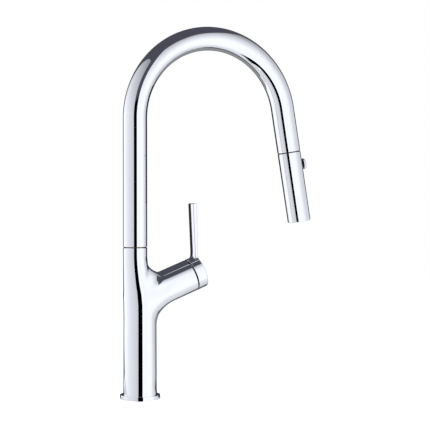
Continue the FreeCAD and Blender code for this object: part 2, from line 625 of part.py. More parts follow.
turned("spout_stem", [
    ("stem_bore", "stem_low_end"), ("journal_radius", "stem_low_end"),
    ("journal_radius", "clip_low - close_fit"), ("groove_radius", "clip_low - close_fit"),
    ("groove_radius", "clip_low + clip_thick + close_fit"),
    ("journal_radius", "clip_low + clip_thick + close_fit"),
    ("journal_radius", "seal_low - 1.2 * seal_thick"),
    ("groove_radius - slip_fit", "seal_low - 1.2 * seal_thick"),
    ("groove_radius - slip_fit", "seal_low + 1.2 * seal_thick"),
    ("journal_radius", "seal_low + 1.2 * seal_thick"),
    ("journal_radius", "seal_high - 1.2 * seal_thick"),
    ("groove_radius - slip_fit", "seal_high - 1.2 * seal_thick"),
    ("groove_radius - slip_fit", "seal_high + 1.2 * seal_thick"),
    ("journal_radius", "seal_high + 1.2 * seal_thick"),
    ("journal_radius", "tube_low + close_fit"), ("socket_radius", "tube_low + close_fit"),
    ("socket_radius", "stem_high_end"), ("stem_bore + 1.5", "stem_high_end"),
    ("stem_bore", "stem_high_end - 2")], NECK)

for label, low in (("neck_bush_lower", "bush_low"), ("neck_bush_upper", "bush_high")):
    turned(label, ring_outline("neck_bore - bush_wall", "neck_bore", low,
                               f"{low} + bush_length"), NECK)
turned("slip_washer", ring_outline("journal_radius + slip_fit", "neck_radius - 0.6", "neck_top",
                                   "neck_top + washer_thick"), NECK)

rings = []
for name, height in (("seal_lower", "seal_low"), ("seal_upper", "seal_high")):
    ring = doc.addObject("Part::Torus", name)
    ring.setExpression("Radius1", bound("groove_radius + seal_thick"))
    ring.setExpression("Radius2", bound("seal_thick"))
    ring.setExpression("Placement.Base.x", bound("-neck_shift"))
    ring.setExpression("Placement.Base.z", bound(height))
    rings.append(ring)
pair = doc.addObject("Part::Compound", "neck_seal_pair")
pair.Links = rings
keep(pair, "neck_seals")

clip = turned_body("stem_clip", ring_outline("groove_radius", "clip_radius", "clip_low",
                                             "clip_low + clip_thick"), NECK)
opening = new_sketch(clip, "clip_opening_outline", "XY_Plane")
opening.setExpression("AttachmentOffset.Base.z", bound("clip_low"))
polygon(opening, [("-20", "-3"), ("-5", "-3"), ("-5", "3"), ("-20", "3")])
cut = clip.newObject("PartDesign::Pocket", "clip_opening")
cut.Profile = opening
cut.Reversed = True
cut.setExpression("Length", bound("clip_thick"))
keep(clip, "stem_retaining_clip")

# ---------------------------------------------------------------- dock and hose end

# Heights above the seam are negative in the leg frame, so these pieces use a frame whose
# local Z runs up the leg and whose origin is inside the wand, DOCK_SHIFT below the seam.
DOCK_SHIFT = 10.0
DOCK = FreeCAD.Placement(LEG.multVec(UP * DOCK_SHIFT), FreeCAD.Rotation(ACROSS,
                                                                       -size("leg_tilt")))


def above(text):
    """A height in the dock frame from a height above the seam."""
    return f"{DOCK_SHIFT} + {text}"


turned("dock_guide", [
    ("dock_bore", above("-seam_half + close_fit")), ("dock_flange", above("-seam_half + close_fit")),
    ("dock_flange", above("seam_half")), ("tube_bore - slip_fit", above("seam_half")),
    ("tube_bore - slip_fit", above("dock_top")), ("hose_radius + 1.5", above("dock_top")),
    ("hose_radius + 1.5", above("dock_top - 3")), ("dock_bore", above("dock_top - 8"))], DOCK)

turned("hose_ferrule", [
    ("hose_bore", above("-6")), ("ferrule_radius + 1", above("-6")),
    ("ferrule_radius + 1", above("-3")), ("ferrule_radius", above("-3")),
    ("ferrule_radius", above("ferrule_top")), ("hose_radius", above("ferrule_top")),
    ("hose_radius", above("2")), ("hose_bore", above("2"))], DOCK)

turned("hose_lead", ring_outline("hose_bore", "hose_radius - slip_fit", above("2.2"),
                                 above("hose_gap - loose_fit")), DOCK)

turned("wand_collar", [
    ("ferrule_radius + 1.3", above("-collar_low")), ("collar_radius", above("-collar_low")),
    ("collar_radius", above("collar_top - 1")), ("collar_radius - 1", above("collar_top")),
    ("ferrule_radius + loose_fit", above("collar_top")), ("ferrule_radius + loose_fit", above("-2.6")),
    ("ferrule_radius + 1.3", above("-2.6"))], DOCK)

turned("hose_washer", ring_outline("hose_bore", "ferrule_radius + 0.8", above("-8"),
                                   above("-6.2")), DOCK)

# ---------------------------------------------------------------- spray wand

OUT = FreeCAD.Placement(LEG.multVec(UP * size("button_centre")),
                        LEG.Rotation.multiply(FreeCAD.Rotation(Vector(0, 0, 1), 90)).multiply(
                            FreeCAD.Rotation(Vector(1, 0, 0), -90)))


def slot_block(name, length, width, low, high):
    """A slot-shaped solid that faces out of the wand, for cutting the wand's parts."""
    body = doc.addObject("PartDesign::Body", name)
    button_layer(body, name + "_pad", "Pad", (length, width), None, low, high)
    body.Placement = OUT
    return body


shell = turned_body("wand_shell_turned", [
    ("wand_radius - edge_bevel", "seam_half"), ("wand_radius", "seam_half + edge_bevel"),
    ("wand_radius", "wand_length - edge_bevel"), ("wand_radius - edge_bevel", "wand_length"),
    ("wand_radius - wand_wall", "wand_length"),
    ("wand_radius - wand_wall", "seam_half + wand_roof"),
    ("collar_radius + close_fit", "seam_half + wand_roof"),
    ("collar_radius + close_fit", "seam_half")], LEG)
opening = slot_block("bezel_opening", "bezel_length", "bezel_width", "8", "20")
keep(joined("wand_shell_solid", "Cut", [shell, opening]), "wand_shell")

core = turned_body("wand_core_turned", [
    ("core_bore", "core_start"), ("core_radius", "core_start"), ("core_radius", "core_end"),
    ("valve_radius + close_fit", "core_end"), ("valve_radius + close_fit", "valve_start - 0.5"),
    ("core_bore", "valve_start - 0.5")], LEG)
core_cuts = joined("wand_core_cuts", "MultiFuse", [
    slot_block("plunger_pocket", "bezel_length + 0.4", "bezel_width + 0.4",
               "plunger_in - 2", "20"),
    cylinder("spring_pocket", "spring_radius + spring_wire + 0.25", "spring_in - close_fit", "14", OUT),
    cylinder("spool_bore", "spool_way", "0", "14", OUT)])
keep(joined("wand_core_solid", "Cut", [core, core_cuts]), "wand_core")

turned("check_valve", [
    ("1.2", "valve_start"), ("valve_radius", "valve_start"), ("valve_radius", "valve_start + 2"),
    ("valve_radius - 1.2", "valve_start + 3"), ("valve_radius - 1.2", "valve_start + 4"),
    ("1.2", "valve_start + 4")], LEG)

manifold = turned_body("spray_manifold", [
    ("core_bore", "manifold_start"), ("core_radius", "manifold_start"),
    ("core_radius", "manifold_end"), ("aerator_radius + free_fit", "manifold_end"),
    ("aerator_radius + free_fit", "aerator_start - close_fit"),
    ("core_bore", "aerator_start - close_fit")], LEG)
keep(manifold, "spray_manifold")

plate = turned_body("spray_plate", [
    ("aerator_radius + free_fit", "plate_start"), ("core_radius", "plate_start"),
    ("core_radius", "plate_end - loose_fit"), ("core_radius - loose_fit", "plate_end"),
    ("aerator_radius + free_fit", "plate_end")], LEG)
spot = new_sketch(plate, "nozzle_spot", "XY_Plane")
spot.setExpression("AttachmentOffset.Base.z", bound("plate_end - close_fit"))
circle(spot, "nozzle_radius", "nozzle_ring")
nozzle = plate.newObject("PartDesign::Pad", "nozzle")
nozzle.Profile = spot
nozzle.setExpression("Length", bound("nozzle_high - plate_end + close_fit"))
doc.recompute()
around = plate.newObject("PartDesign::PolarPattern", "nozzles")
around.Originals = [nozzle]
around.Axis = (plane(plate, "Z_Axis"), [""])
around.Angle = 360
around.Occurrences = NOZZLES
plate.Tip = around
keep(plate, "spray_plate")

turned("aerator", [
    ("0", "aerator_start"), ("aerator_radius", "aerator_start"),
    ("aerator_radius", "aerator_end - 0.4"), ("aerator_radius - 0.4", "aerator_end"),
    ("aerator_radius - 1.4", "aerator_end"), ("aerator_radius - 1.4", "aerator_end - 1.2"),
    ("0", "aerator_end - 1.2")], LEG)

# ---------------------------------------------------------------- spray button

bezel = doc.addObject("PartDesign::Body", "button_bezel")
button_layer(bezel, "bezel_ring", "Pad", ("bezel_length - close_fit", "bezel_width - close_fit"),
             ("bezel_bore_length", "bezel_bore_width"), "bezel_in", "bezel_out")
bezel.Placement = OUT
keep(bezel, "button_bezel")

plunger = doc.addObject("PartDesign::Body", "button_plunger")
button_layer(plunger, "plunger_block", "Pad", ("plunger_length", "plunger_width"), None,
             "plunger_in", "button_under")
plunger.Placement = OUT
keep(plunger, "button_plunger")

button = doc.addObject("PartDesign::Body", "spray_button")
button_layer(button, "button_block", "Pad", ("button_length", "button_width"), None,
             "button_under", "button_top - button_dome")
button_layer(button, "button_crown", "Pad",
             ("button_length - 2 * button_dome", "button_width - 2 * button_dome"), None,
             "button_top - button_dome", "button_top")
button.Placement = OUT
keep(button, "spray_button")

spool = cylinder("spool_rod", "spool_radius", "spool_in", "plunger_in", OUT)
keep(spool, "diverter_spool")

coil = Part.makeHelix((size("plunger_in") - size("spring_in") - 2 * size("spring_wire") - 0.1)
                      / size("spring_turns"),
                      size("plunger_in") - size("spring_in") - 2 * size("spring_wire") - 0.1,
                      size("spring_radius"))
wire = Part.Wire(Part.makeCircle(size("spring_wire"), Vector(size("spring_radius"), 0, 0),
                                 ACROSS))
spring = doc.addObject("Part::Feature", "button_spring_coil")
spring.Shape = Part.Wire(coil).makePipeShell([wire], True, True)
spring.Placement = FreeCAD.Placement(
    OUT.multVec(UP * (size("spring_in") + size("spring_wire"))), OUT.Rotation)
keep(spring, "button_spring")

# ---------------------------------------------------------------- check and write

doc.recompute()
for item in doc.Objects:
    if "Invalid" in item.State or "Error" in item.State:
        raise RuntimeError(f"{item.Name} did not compute: {item.State}")
for part in subparts:
    shape = part.Shape
    if shape.isNull() or not shape.isValid() or not shape.Solids:
        raise RuntimeError(f"{part.Label} has no valid solid")
for part in subparts:
    part.Shape.exportStep(f"parts/{part.Label}.step")
    print(f"{part.Label}: {len(part.Shape.Solids)} solid(s), {part.Shape.Volume:.0f} mm3")
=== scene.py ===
"""Pull down kitchen faucet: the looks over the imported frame.

The CAD nodes stay as the frame. The polished outer pieces are rebuilt here as fine meshes with
exact normals, because a mirror finish shows every facet. All lengths are in metres.
"""

import json
import math

import bmesh
import bpy
import numpy as np
from mathutils import Matrix, Vector


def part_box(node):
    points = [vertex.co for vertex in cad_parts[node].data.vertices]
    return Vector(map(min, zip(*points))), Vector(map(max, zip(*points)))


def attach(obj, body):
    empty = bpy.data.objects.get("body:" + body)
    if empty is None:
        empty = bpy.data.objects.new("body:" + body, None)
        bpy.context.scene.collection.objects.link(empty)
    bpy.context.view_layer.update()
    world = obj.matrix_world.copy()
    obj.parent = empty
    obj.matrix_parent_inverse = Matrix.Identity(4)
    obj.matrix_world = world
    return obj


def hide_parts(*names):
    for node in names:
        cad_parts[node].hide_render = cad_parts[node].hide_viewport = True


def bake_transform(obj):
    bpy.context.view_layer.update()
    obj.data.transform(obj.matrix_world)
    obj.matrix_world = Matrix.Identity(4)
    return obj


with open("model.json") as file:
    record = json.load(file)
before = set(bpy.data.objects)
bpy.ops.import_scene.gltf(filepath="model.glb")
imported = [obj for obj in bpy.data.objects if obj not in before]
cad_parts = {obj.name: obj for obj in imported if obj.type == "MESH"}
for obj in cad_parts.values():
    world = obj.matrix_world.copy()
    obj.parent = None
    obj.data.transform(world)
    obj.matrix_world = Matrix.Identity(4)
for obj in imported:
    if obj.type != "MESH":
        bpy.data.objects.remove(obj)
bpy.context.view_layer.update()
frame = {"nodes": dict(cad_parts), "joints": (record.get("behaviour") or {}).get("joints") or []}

MM = 0.001
JOINTS = {joint["name"]: joint for joint in frame["joints"]}
NODES = frame["nodes"]


def unit(values):
    return Vector(values).normalized()


# ---------------------------------------------------------------- places taken from the frame

SEAM = Vector(JOINTS["wand_spin"]["pos_m"])
LEG_AXIS = unit(JOINTS["wand_spin"]["axis"])
NECK_X = JOINTS["spout_swivel"]["pos_m"][0]
BRANCH_ORIGIN = Vector(JOINTS["handle_turn"]["pos_m"])
BRANCH_AXIS = unit(JOINTS["handle_turn"]["axis"])
BUTTON_OUT = -unit(JOINTS["button_press"]["axis"])
SIDE = Vector((0, 1, 0))

CASTING_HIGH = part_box("body_casting")[1]
TUBE_LOW, TUBE_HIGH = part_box("spout_tube")
RING_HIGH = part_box("base_ring")[1]
HANDLE_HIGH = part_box("handle")[1]

TUBE_RADIUS = TUBE_HIGH.y
NECK_TOP = CASTING_HIGH.z
RING_TOP = RING_HIGH.z


def along(origin, axis, point):
    """How far a point lies from origin, measured along axis."""
    return (Vector(point) - origin).dot(axis)


def node_reach(node, origin, axis):
    """The lowest and highest place of a CAD node along an axis through origin."""
    heights = [along(origin, axis, vertex.co) for vertex in NODES[node].data.vertices]
    return min(heights), max(heights)


# ---------------------------------------------------------------- procedural materials


class Finish:
    """A node material under construction: a Principled shader and helpers to feed it."""

    def __init__(self, name, **sockets):
        self.material = bpy.data.materials.new(name)
        self.material.use_nodes = True
        self.tree = self.material.node_tree
        self.shader = self.tree.nodes["Principled BSDF"]
        for socket, value in sockets.items():
            self.shader.inputs[socket.replace("_", " ")].default_value = value
        self.place = self.tree.nodes.new("ShaderNodeTexCoord").outputs["Object"]

    def noise(self, scale, detail=3.0, stretch=None):
        """Noise over object space, with scale in cells per metre."""
        node = self.tree.nodes.new("ShaderNodeTexNoise")
        node.inputs["Scale"].default_value = scale
        node.inputs["Detail"].default_value = detail
        source = self.place
        if stretch:
            mapping = self.tree.nodes.new("ShaderNodeMapping")
            mapping.inputs["Scale"].default_value = stretch
            self.tree.links.new(source, mapping.inputs["Vector"])
            source = mapping.outputs["Vector"]
        self.tree.links.new(source, node.inputs["Vector"])
        return node.outputs["Fac"]

    def colours(self, value, *stops):
        """A colour ramp over value; each stop is (position, (r, g, b))."""
        ramp = self.tree.nodes.new("ShaderNodeValToRGB")
        elements = ramp.color_ramp.elements
        while len(elements) < len(stops):
            elements.new(0.5)
        for element, (position, colour) in zip(elements, stops):
            element.position = position
            element.color = (*colour, 1.0)
        self.tree.links.new(value, ramp.inputs["Fac"])
        self.tree.links.new(ramp.outputs["Color"], self.shader.inputs["Base Color"])

    def span(self, value, low, high, socket):
        """Feeds a shader socket with value mapped onto low to high."""
        node = self.tree.nodes.new("ShaderNodeMapRange")
        node.inputs["From Min"].default_value = 0.3
        node.inputs["From Max"].default_value = 0.7
        node.inputs["To Min"].default_value = low
        node.inputs["To Max"].default_value = high
        self.tree.links.new(value, node.inputs["Value"])
        self.tree.links.new(node.outputs["Result"], self.shader.inputs[socket])

    def bump(self, value, depth, strength=1.0):
        node = self.tree.nodes.new("ShaderNodeBump")
        node.inputs["Distance"].default_value = depth
        node.inputs["Strength"].default_value = strength
        self.tree.links.new(value, node.inputs["Height"])
        self.tree.links.new(node.outputs["Normal"], self.shader.inputs["Normal"])


def chrome():
    """Mirror plating: faintly blue, with a soft haze that varies where it has been wiped."""
    finish = Finish("chrome_plate_finish", Metallic=1.0)
    smear = finish.noise(38.0, 4.0, (1.0, 1.0, 0.25))
    finish.colours(smear, (0.3, (0.925, 0.94, 0.965)), (0.7, (0.965, 0.972, 0.985)))
    finish.span(finish.noise(90.0, 6.0), 0.004, 0.010, "Roughness")
    return finish.material


def moulded(name, dark, light, roughness, gloss=0.5, grain=1800.0, depth=0.00004):
    """Moulded plastic, rubber or silicone: fine grain in colour, gloss and surface."""
    finish = Finish(name, Specular_IOR_Level=gloss)
    finish.colours(finish.noise(140.0, 4.0), (0.3, dark), (0.7, light))
    grainy = finish.noise(grain, 3.0)
    finish.span(grainy, roughness - 0.06, roughness + 0.08, "Roughness")
    finish.bump(grainy, depth, 0.5)
    return finish.material


def machined(name, dark, light, roughness, stretch=(1.0, 1.0, 12.0)):
    """Turned metal: fine tool marks across the axis."""
    finish = Finish(name, Metallic=1.0)
    marks = finish.noise(500.0, 4.0, stretch)
    finish.colours(finish.noise(60.0, 3.0), (0.3, dark), (0.7, light))
    finish.span(marks, roughness - 0.05, roughness + 0.10, "Roughness")
    finish.bump(marks, 0.00002, 0.4)
    return finish.material


def braided():
    """Grey nylon braid over the hose: strands crossing in two helices."""
    finish = Finish("braided_hose_finish", Specular_IOR_Level=0.4)
    tree = finish.tree
    layout = tree.nodes.new("ShaderNodeUVMap")
    layout.uv_map = "braid"
    split = tree.nodes.new("ShaderNodeSeparateXYZ")
    tree.links.new(layout.outputs["UV"], split.inputs["Vector"])
    strands = 12

    def math_node(operation, first, second):
        node = tree.nodes.new("ShaderNodeMath")
        node.operation = operation
        for socket, value in zip(node.inputs, (first, second)):
            if isinstance(value, (int, float)):
                socket.default_value = value
            else:
                tree.links.new(value, socket)
        return node.outputs["Value"]

    helices = []
    for hand in (1, -1):
        rise = math_node("MULTIPLY", split.outputs["Y"], hand * strands)
        turn = math_node("MULTIPLY_ADD", split.outputs["X"], strands)
        turn.node.inputs[2].default_value = 0.0
        phase = math_node("MULTIPLY", math_node("ADD", turn, rise), 2 * math.pi)
        helices.append(math_node("SINE", phase, 0.0))
    weave = math_node("MULTIPLY_ADD", math_node("MAXIMUM", helices[0], helices[1]), 0.5)
    weave.node.inputs[2].default_value = 0.5
    finish.colours(weave, (0.45, (0.035, 0.036, 0.040)), (0.95, (0.30, 0.31, 0.33)))
    finish.span(finish.noise(2600.0, 2.0), 0.40, 0.60, "Roughness")
    finish.bump(weave, 0.00025, 0.8)
    return finish.material


BLACK = (0.006, 0.006, 0.007)
FINISHES = {
    "chrome_plate": chrome(),
    "black_rubber": moulded("black_rubber_finish", BLACK, (0.013, 0.013, 0.014), 0.66, 0.2),
    "black_plastic": moulded("black_plastic_finish", BLACK, (0.014, 0.014, 0.016), 0.48, 0.25),
    "bearing_plastic": moulded("bearing_plastic_finish", (0.62, 0.60, 0.55), (0.72, 0.70, 0.66), 0.40),
    "grey_silicone": moulded("grey_silicone_finish", (0.15, 0.155, 0.165), (0.21, 0.215, 0.225), 0.55),
    "brass": machined("brass_finish", (0.60, 0.42, 0.17), (0.72, 0.53, 0.25), 0.28),
    "spring_steel": machined("spring_steel_finish", (0.50, 0.50, 0.50), (0.62, 0.62, 0.61), 0.24),
    "ceramic": moulded("ceramic_finish", (0.80, 0.79, 0.76), (0.87, 0.86, 0.83), 0.22),
    "braided_hose": braided(),
}

for node in NODES.values():
    for material_slot in node.material_slots:
        material_slot.material = FINISHES[material_slot.material.name.split(".")[0]]


# ---------------------------------------------------------------- mesh helpers


def frame_at(origin, axis, across):
    """A 4x4 placement with Z along axis and X close to across."""
    z = Vector(axis).normalized()
    y = z.cross(Vector(across)).normalized()
    x = y.cross(z)
    placement = Matrix((x, y, z)).transposed().to_4x4()
    placement.translation = Vector(origin)
    return placement


def new_piece(name, bm, body, slot_name, nodes=(), sharp_angle=28):
    """Turns a bmesh into a piece of the object that rides on a body and replaces CAD nodes."""
    bmesh.ops.recalc_face_normals(bm, faces=bm.faces)
    for face in bm.faces:
        face.smooth = True
    for edge in bm.edges:
        edge.smooth = edge.is_manifold and edge.calc_face_angle(0) < math.radians(sharp_angle)
    mesh = bpy.data.meshes.new(name)
    bm.to_mesh(mesh)
    bm.free()
    mesh.materials.append(FINISHES[slot_name])
    piece = bpy.data.objects.new(name, mesh)
    bpy.context.scene.collection.objects.link(piece)
    if nodes:
        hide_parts(*nodes)
    if body:
        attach(piece, body)
    return piece


def ring_of(bm, placement, radius, height, count):
    """A closed ring of vertices round the placement's Z axis."""
    turns = [2 * math.pi * index / count for index in range(count)]
    return [bm.verts.new(placement @ Vector((radius * math.cos(turn), radius * math.sin(turn), height)))
            for turn in turns]


def bridge(bm, first, second):
    count = len(first)
    for index in range(count):
        after = (index + 1) % count
        bm.faces.new((first[index], first[after], second[after], second[index]))


def turned(bm, placement, profile, count=128):
    """Adds a closed body turned from (radius, height) points; a zero radius ends it on the axis."""
    rings = [ring_of(bm, placement, radius, height, count) for radius, height in profile if radius > 0]
    for first, second in zip(rings, rings[1:]):
        bridge(bm, first, second)
    if profile[0][0] == 0:
        bm.faces.new(rings[0])
    if profile[-1][0] == 0:
        bm.faces.new(rings[-1])
    if profile[0][0] and profile[-1][0]:
        bridge(bm, rings[-1], rings[0])


def rounded(corner, towards, away, radius, steps=4):
    """Points of a rounded profile corner, from the side facing towards to the side facing away."""
    corner = Vector(corner)
    start = corner + (Vector(towards) - corner).normalized() * radius
    end = corner + (Vector(away) - corner).normalized() * radius
    return [tuple(start.lerp(corner, step / steps).lerp(corner.lerp(end, step / steps), step / steps))
            for step in range(steps + 1)]


# ---------------------------------------------------------------- blended metal forms


def smooth_step(value):
    value = np.clip(value, 0.0, 1.0)
    return value * value * (3 - 2 * value)


def gradient(field, points, step=2e-5):
    """The field's gradient by central differences."""
    result = np.empty_like(points)
    for axis in range(3):
        offset = np.zeros(3)
        offset[axis] = step
        result[:, axis] = (field(points + offset) - field(points - offset)) / (2 * step)
    return result


def normalised(vectors):
    return vectors / np.maximum(np.linalg.norm(vectors, axis=1), 1e-12)[:, None]


CRISP_CORNER = 0.4


def joined_field(first, second, fillet, ease=0.0, ends=None):
    """Two fields joined as a ball of the fillet radius rolling in their corner would leave them.

    Where the two faces run on into each other there is nothing to fill, so the blend fades out
    with the angle between them, down to ease. fillet is a function of the points, and so is ends:
    0 where the blend runs out softly, and towards 1 where it ends crisply, like a chamfer."""

    def field(points):
        a, b = first(points), second(points)
        facing = (normalised(gradient(first, points)) * normalised(gradient(second, points))).sum(1)
        half_angle = np.sqrt(np.clip((1 + facing) / 2, 0, 1))
        width = np.maximum(4 * fillet(points) * (1 - half_angle) + ease, 1e-7)
        overlap = np.maximum(width - np.abs(a - b), 0) / width
        power = 2.0 - (ends(points) * smooth_step((1 - half_angle) / CRISP_CORNER) if ends else 0.0)
        return np.minimum(a, b) - overlap**power * width / (2 * power)

    return field


def settle(mesh, field, rounds=5, reach=0.002):
    """Moves a mesh's vertices onto the field's zero surface."""
    points = np.empty(len(mesh.vertices) * 3)
    mesh.vertices.foreach_get("co", points)
    points = points.reshape(-1, 3)
    for _ in range(rounds):
        slope = gradient(field, points)
        length = np.maximum((slope * slope).sum(1), 0.05)
        step = np.clip(field(points) / length, -reach, reach)
        points = points - slope * step[:, None]
    mesh.vertices.foreach_set("co", points.ravel())
    mesh.update()


def remeshed(mesh, voxel):
    """The mesh's outer skin rebuilt as even quads."""
    helper = bpy.data.objects.new("remesh_helper", mesh)
    bpy.context.scene.collection.objects.link(helper)
    modifier = helper.modifiers.new("remesh", "REMESH")
    modifier.mode = "VOXEL"
    modifier.voxel_size = voxel
    evaluated = helper.evaluated_get(bpy.context.evaluated_depsgraph_get())
    result = bpy.data.meshes.new_from_object(evaluated)
    bpy.data.objects.remove(helper)
    return result


def skin(bm, field, voxels):
    """The zero surface of a field as quads, grown from a rough closed start shape."""
    mesh = bpy.data.meshes.new("skin")
    bm.to_mesh(mesh)
    bm.free()
    for voxel in voxels:
        mesh = remeshed(mesh, voxel)
        settle(mesh, field)
    result = bmesh.new()
    result.from_mesh(mesh)
    result.faces.layers.int.new("rim")
    return result


def cut_rim(bm, placement, height, profile, close=False):
    """Cuts the skin square at a height of the placement and carries the rim on through a profile.

    profile holds (radius, height) points."""
    rim = bm.faces.layers.int["rim"]
    normal = (placement.to_3x3() @ Vector((0, 0, 1))).normalized()
    point = placement @ Vector((0, 0, height))
    near = [face for face in bm.faces if (face.calc_center_median() - point).dot(normal) > -0.02]
    parts = set(near)
    for face in near:
        parts.update(face.edges)
        parts.update(face.verts)
    cut = bmesh.ops.bisect_plane(bm, geom=list(parts), plane_co=point, plane_no=normal,
                                 clear_outer=True, dist=1e-7)
    loop = [item for item in cut["geom_cut"] if isinstance(item, bmesh.types.BMEdge)]
    inverse = placement.inverted()
    for radius, at in profile:
        extruded = bmesh.ops.extrude_edge_only(bm, edges=loop)["geom"]
        loop = [item for item in extruded if isinstance(item, bmesh.types.BMEdge)
                and all(vertex in extruded for vertex in item.verts)]
        for item in extruded:
            if isinstance(item, bmesh.types.BMFace):
                item[rim] = 1
        for vertex in {vertex for edge in loop for vertex in edge.verts}:
            local = inverse @ vertex.co
            turn = math.atan2(local.y, local.x)
            vertex.co = placement @ Vector((radius * math.cos(turn), radius * math.sin(turn), at))
    if close:
        for face in bmesh.ops.edgeloop_fill(bm, edges=loop)["faces"]:
            face[rim] = 1


def polish(piece, field):
    """Gives the skin the field's own normals and leaves the rims to their faces."""
    mesh = piece.data
    rims = {index for index, item in enumerate(mesh.attributes["rim"].data) if item.value}
    points = np.empty(len(mesh.vertices) * 3)
    mesh.vertices.foreach_get("co", points)
    exact = normalised(gradient(field, points.reshape(-1, 3)))
    normals = [Vector(corner.vector) for corner in mesh.corner_normals]
    for polygon in mesh.polygons:
        if polygon.index in rims:
            continue
        for corner in polygon.loop_indices:
            normals[corner] = Vector(exact[mesh.loops[corner].vertex_index])
    mesh.normals_split_custom_set(normals)


# ---------------------------------------------------------------- body casting

FOOT_RADIUS = 19.7 * MM
COLUMN_RADIUS = 19.2 * MM
SHOULDER_LOW = 97 * MM
SHOULDER_HIGH = 168 * MM
FILLET_BELOW = 22 * MM
FILLET_ABOVE = 6.2 * MM
ROOT_EASE = 5 * MM
ROOT_RADIUS = 17.2 * MM
ROOT_LENGTH = 34 * MM
RIM_BEVEL = 0.3 * MM
SEAM_EXTRA = 0.2 * MM
GAP_BEVEL = 0.12 * MM
GAP_EXTRA = 0.25 * MM
TURNOVER = 8 * MM
CRISPNESS_ABOVE = 0.7
CASTING_VOXELS = (1.6 * MM, 0.9 * MM)
CUT_BACK = 1.2 * MM
NECK_WALL, NECK_DEPTH = 2.4 * MM, 6 * MM
MOUTH_WALL, MOUTH_DEPTH = 1.8 * MM, 12 * MM
FLANGE_SEAT = (1.0 * MM, 1.1 * MM)
FOOT_CUT, FOOT_WALL = 0.6 * MM, 2 * MM
START_COUNT = 48
BRANCH_END = node_reach("body_casting", BRANCH_ORIGIN, BRANCH_AXIS)[1]
BRANCH_UP = BRANCH_AXIS.cross(SIDE)
BRANCH_FRAME = frame_at(BRANCH_ORIGIN, BRANCH_AXIS, BRANCH_UP)


def column_field(points):
    """The column and neck: round at every height, narrowing and leaning back at the shoulder."""
    height = points[:, 2]
    taper = np.clip((height - RING_TOP) / (SHOULDER_LOW - RING_TOP), 0, 1)
    narrow = smooth_step((height - SHOULDER_LOW) / (SHOULDER_HIGH - SHOULDER_LOW))
    radius = (FOOT_RADIUS + (COLUMN_RADIUS - FOOT_RADIUS) * taper
              + (TUBE_RADIUS - COLUMN_RADIUS) * narrow)
    return np.hypot(points[:, 0] - NECK_X * narrow, points[:, 1]) - radius


def branch_field(points):
    """The branch: a cylinder round its axis that starts as a slightly smaller ball in the column."""
    relative = points - np.array(BRANCH_ORIGIN)
    axis = np.array(BRANCH_AXIS)
    reach = np.maximum(relative @ axis, 0)
    radius = ROOT_RADIUS + (COLUMN_RADIUS - ROOT_RADIUS) * smooth_step(reach / ROOT_LENGTH)
    return np.linalg.norm(relative - reach[:, None] * axis, axis=1) - radius


def above_branch(points):
    """0 under the branch and 1 over it."""
    side = (points - np.array(BRANCH_ORIGIN)) @ np.array(BRANCH_UP)
    return smooth_step((side + TURNOVER) / (2 * TURNOVER))


def casting_fillet(points):
    return FILLET_BELOW + (FILLET_ABOVE - FILLET_BELOW) * above_branch(points)


def casting_ends(points):
    return CRISPNESS_ABOVE * above_branch(points)


def body_casting():
    """The column and branch, with the rims of the neck, the branch's mouth and the foot."""
    field = joined_field(column_field, branch_field, casting_fillet, ROOT_EASE, casting_ends)
    start = bmesh.new()
    spare = 8 * MM
    heights = np.linspace(RING_TOP - spare, NECK_TOP + spare, 60)
    rings = []
    for height in heights:
        lean = float(smooth_step((height - SHOULDER_LOW) / (SHOULDER_HIGH - SHOULDER_LOW)))
        radius = COLUMN_RADIUS + (TUBE_RADIUS - COLUMN_RADIUS) * lean
        placement = Matrix.Translation((NECK_X * lean, 0, 0))
        rings.append(ring_of(start, placement, radius, height, START_COUNT))
    for first, second in zip(rings, rings[1:]):
        bridge(start, first, second)
    start.faces.new(rings[0])
    start.faces.new(rings[-1])
    turned(start, BRANCH_FRAME, [
        (0, 0), (COLUMN_RADIUS - MM, 0), (COLUMN_RADIUS - MM, BRANCH_END + spare),
        (0, BRANCH_END + spare)], START_COUNT)
    bmesh.ops.recalc_face_normals(start, faces=start.faces)
    bm = skin(start, field, CASTING_VOXELS)
    neck = Matrix.Translation((NECK_X, 0, 0))
    inner = TUBE_RADIUS - NECK_WALL
    seam = NECK_TOP - SEAM_EXTRA
    cut_rim(bm, neck, NECK_TOP - CUT_BACK, [
        (TUBE_RADIUS, seam - RIM_BEVEL), (TUBE_RADIUS - RIM_BEVEL, seam),
        (inner, seam), (inner, NECK_TOP - NECK_DEPTH)])
    mouth = COLUMN_RADIUS - MOUTH_WALL
    lip = BRANCH_END - GAP_EXTRA
    cut_rim(bm, BRANCH_FRAME, BRANCH_END - CUT_BACK, [
        (COLUMN_RADIUS, lip - GAP_BEVEL), (COLUMN_RADIUS - GAP_BEVEL, lip),
        (COLUMN_RADIUS - FLANGE_SEAT[0], lip), (COLUMN_RADIUS - FLANGE_SEAT[1], BRANCH_END),
        (mouth, BRANCH_END), (mouth, BRANCH_END - MOUTH_DEPTH)])
    foot = Matrix.Rotation(math.pi, 4, "X")
    cut_rim(bm, foot, -(RING_TOP + FOOT_CUT), [
        (FOOT_RADIUS, -RING_TOP), (FOOT_RADIUS - FOOT_WALL, -RING_TOP)])
    piece = new_piece("casting_skin", bm, "body", "chrome_plate", ["body_casting"])
    polish(piece, field)


body_casting()

# ---------------------------------------------------------------- spout tube


def spout_path():
    """Bend radius, spring line and leg length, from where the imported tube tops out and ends."""
    lean_sine, lean_cosine = LEG_AXIS.x, -LEG_AXIS.z
    top = TUBE_HIGH.z - TUBE_RADIUS
    bend, leg = np.linalg.solve(
        [[1 + lean_cosine, lean_sine], [1 - lean_sine, lean_cosine]],
        [SEAM.x - NECK_X, top - SEAM.z])
    return bend, top - bend, leg


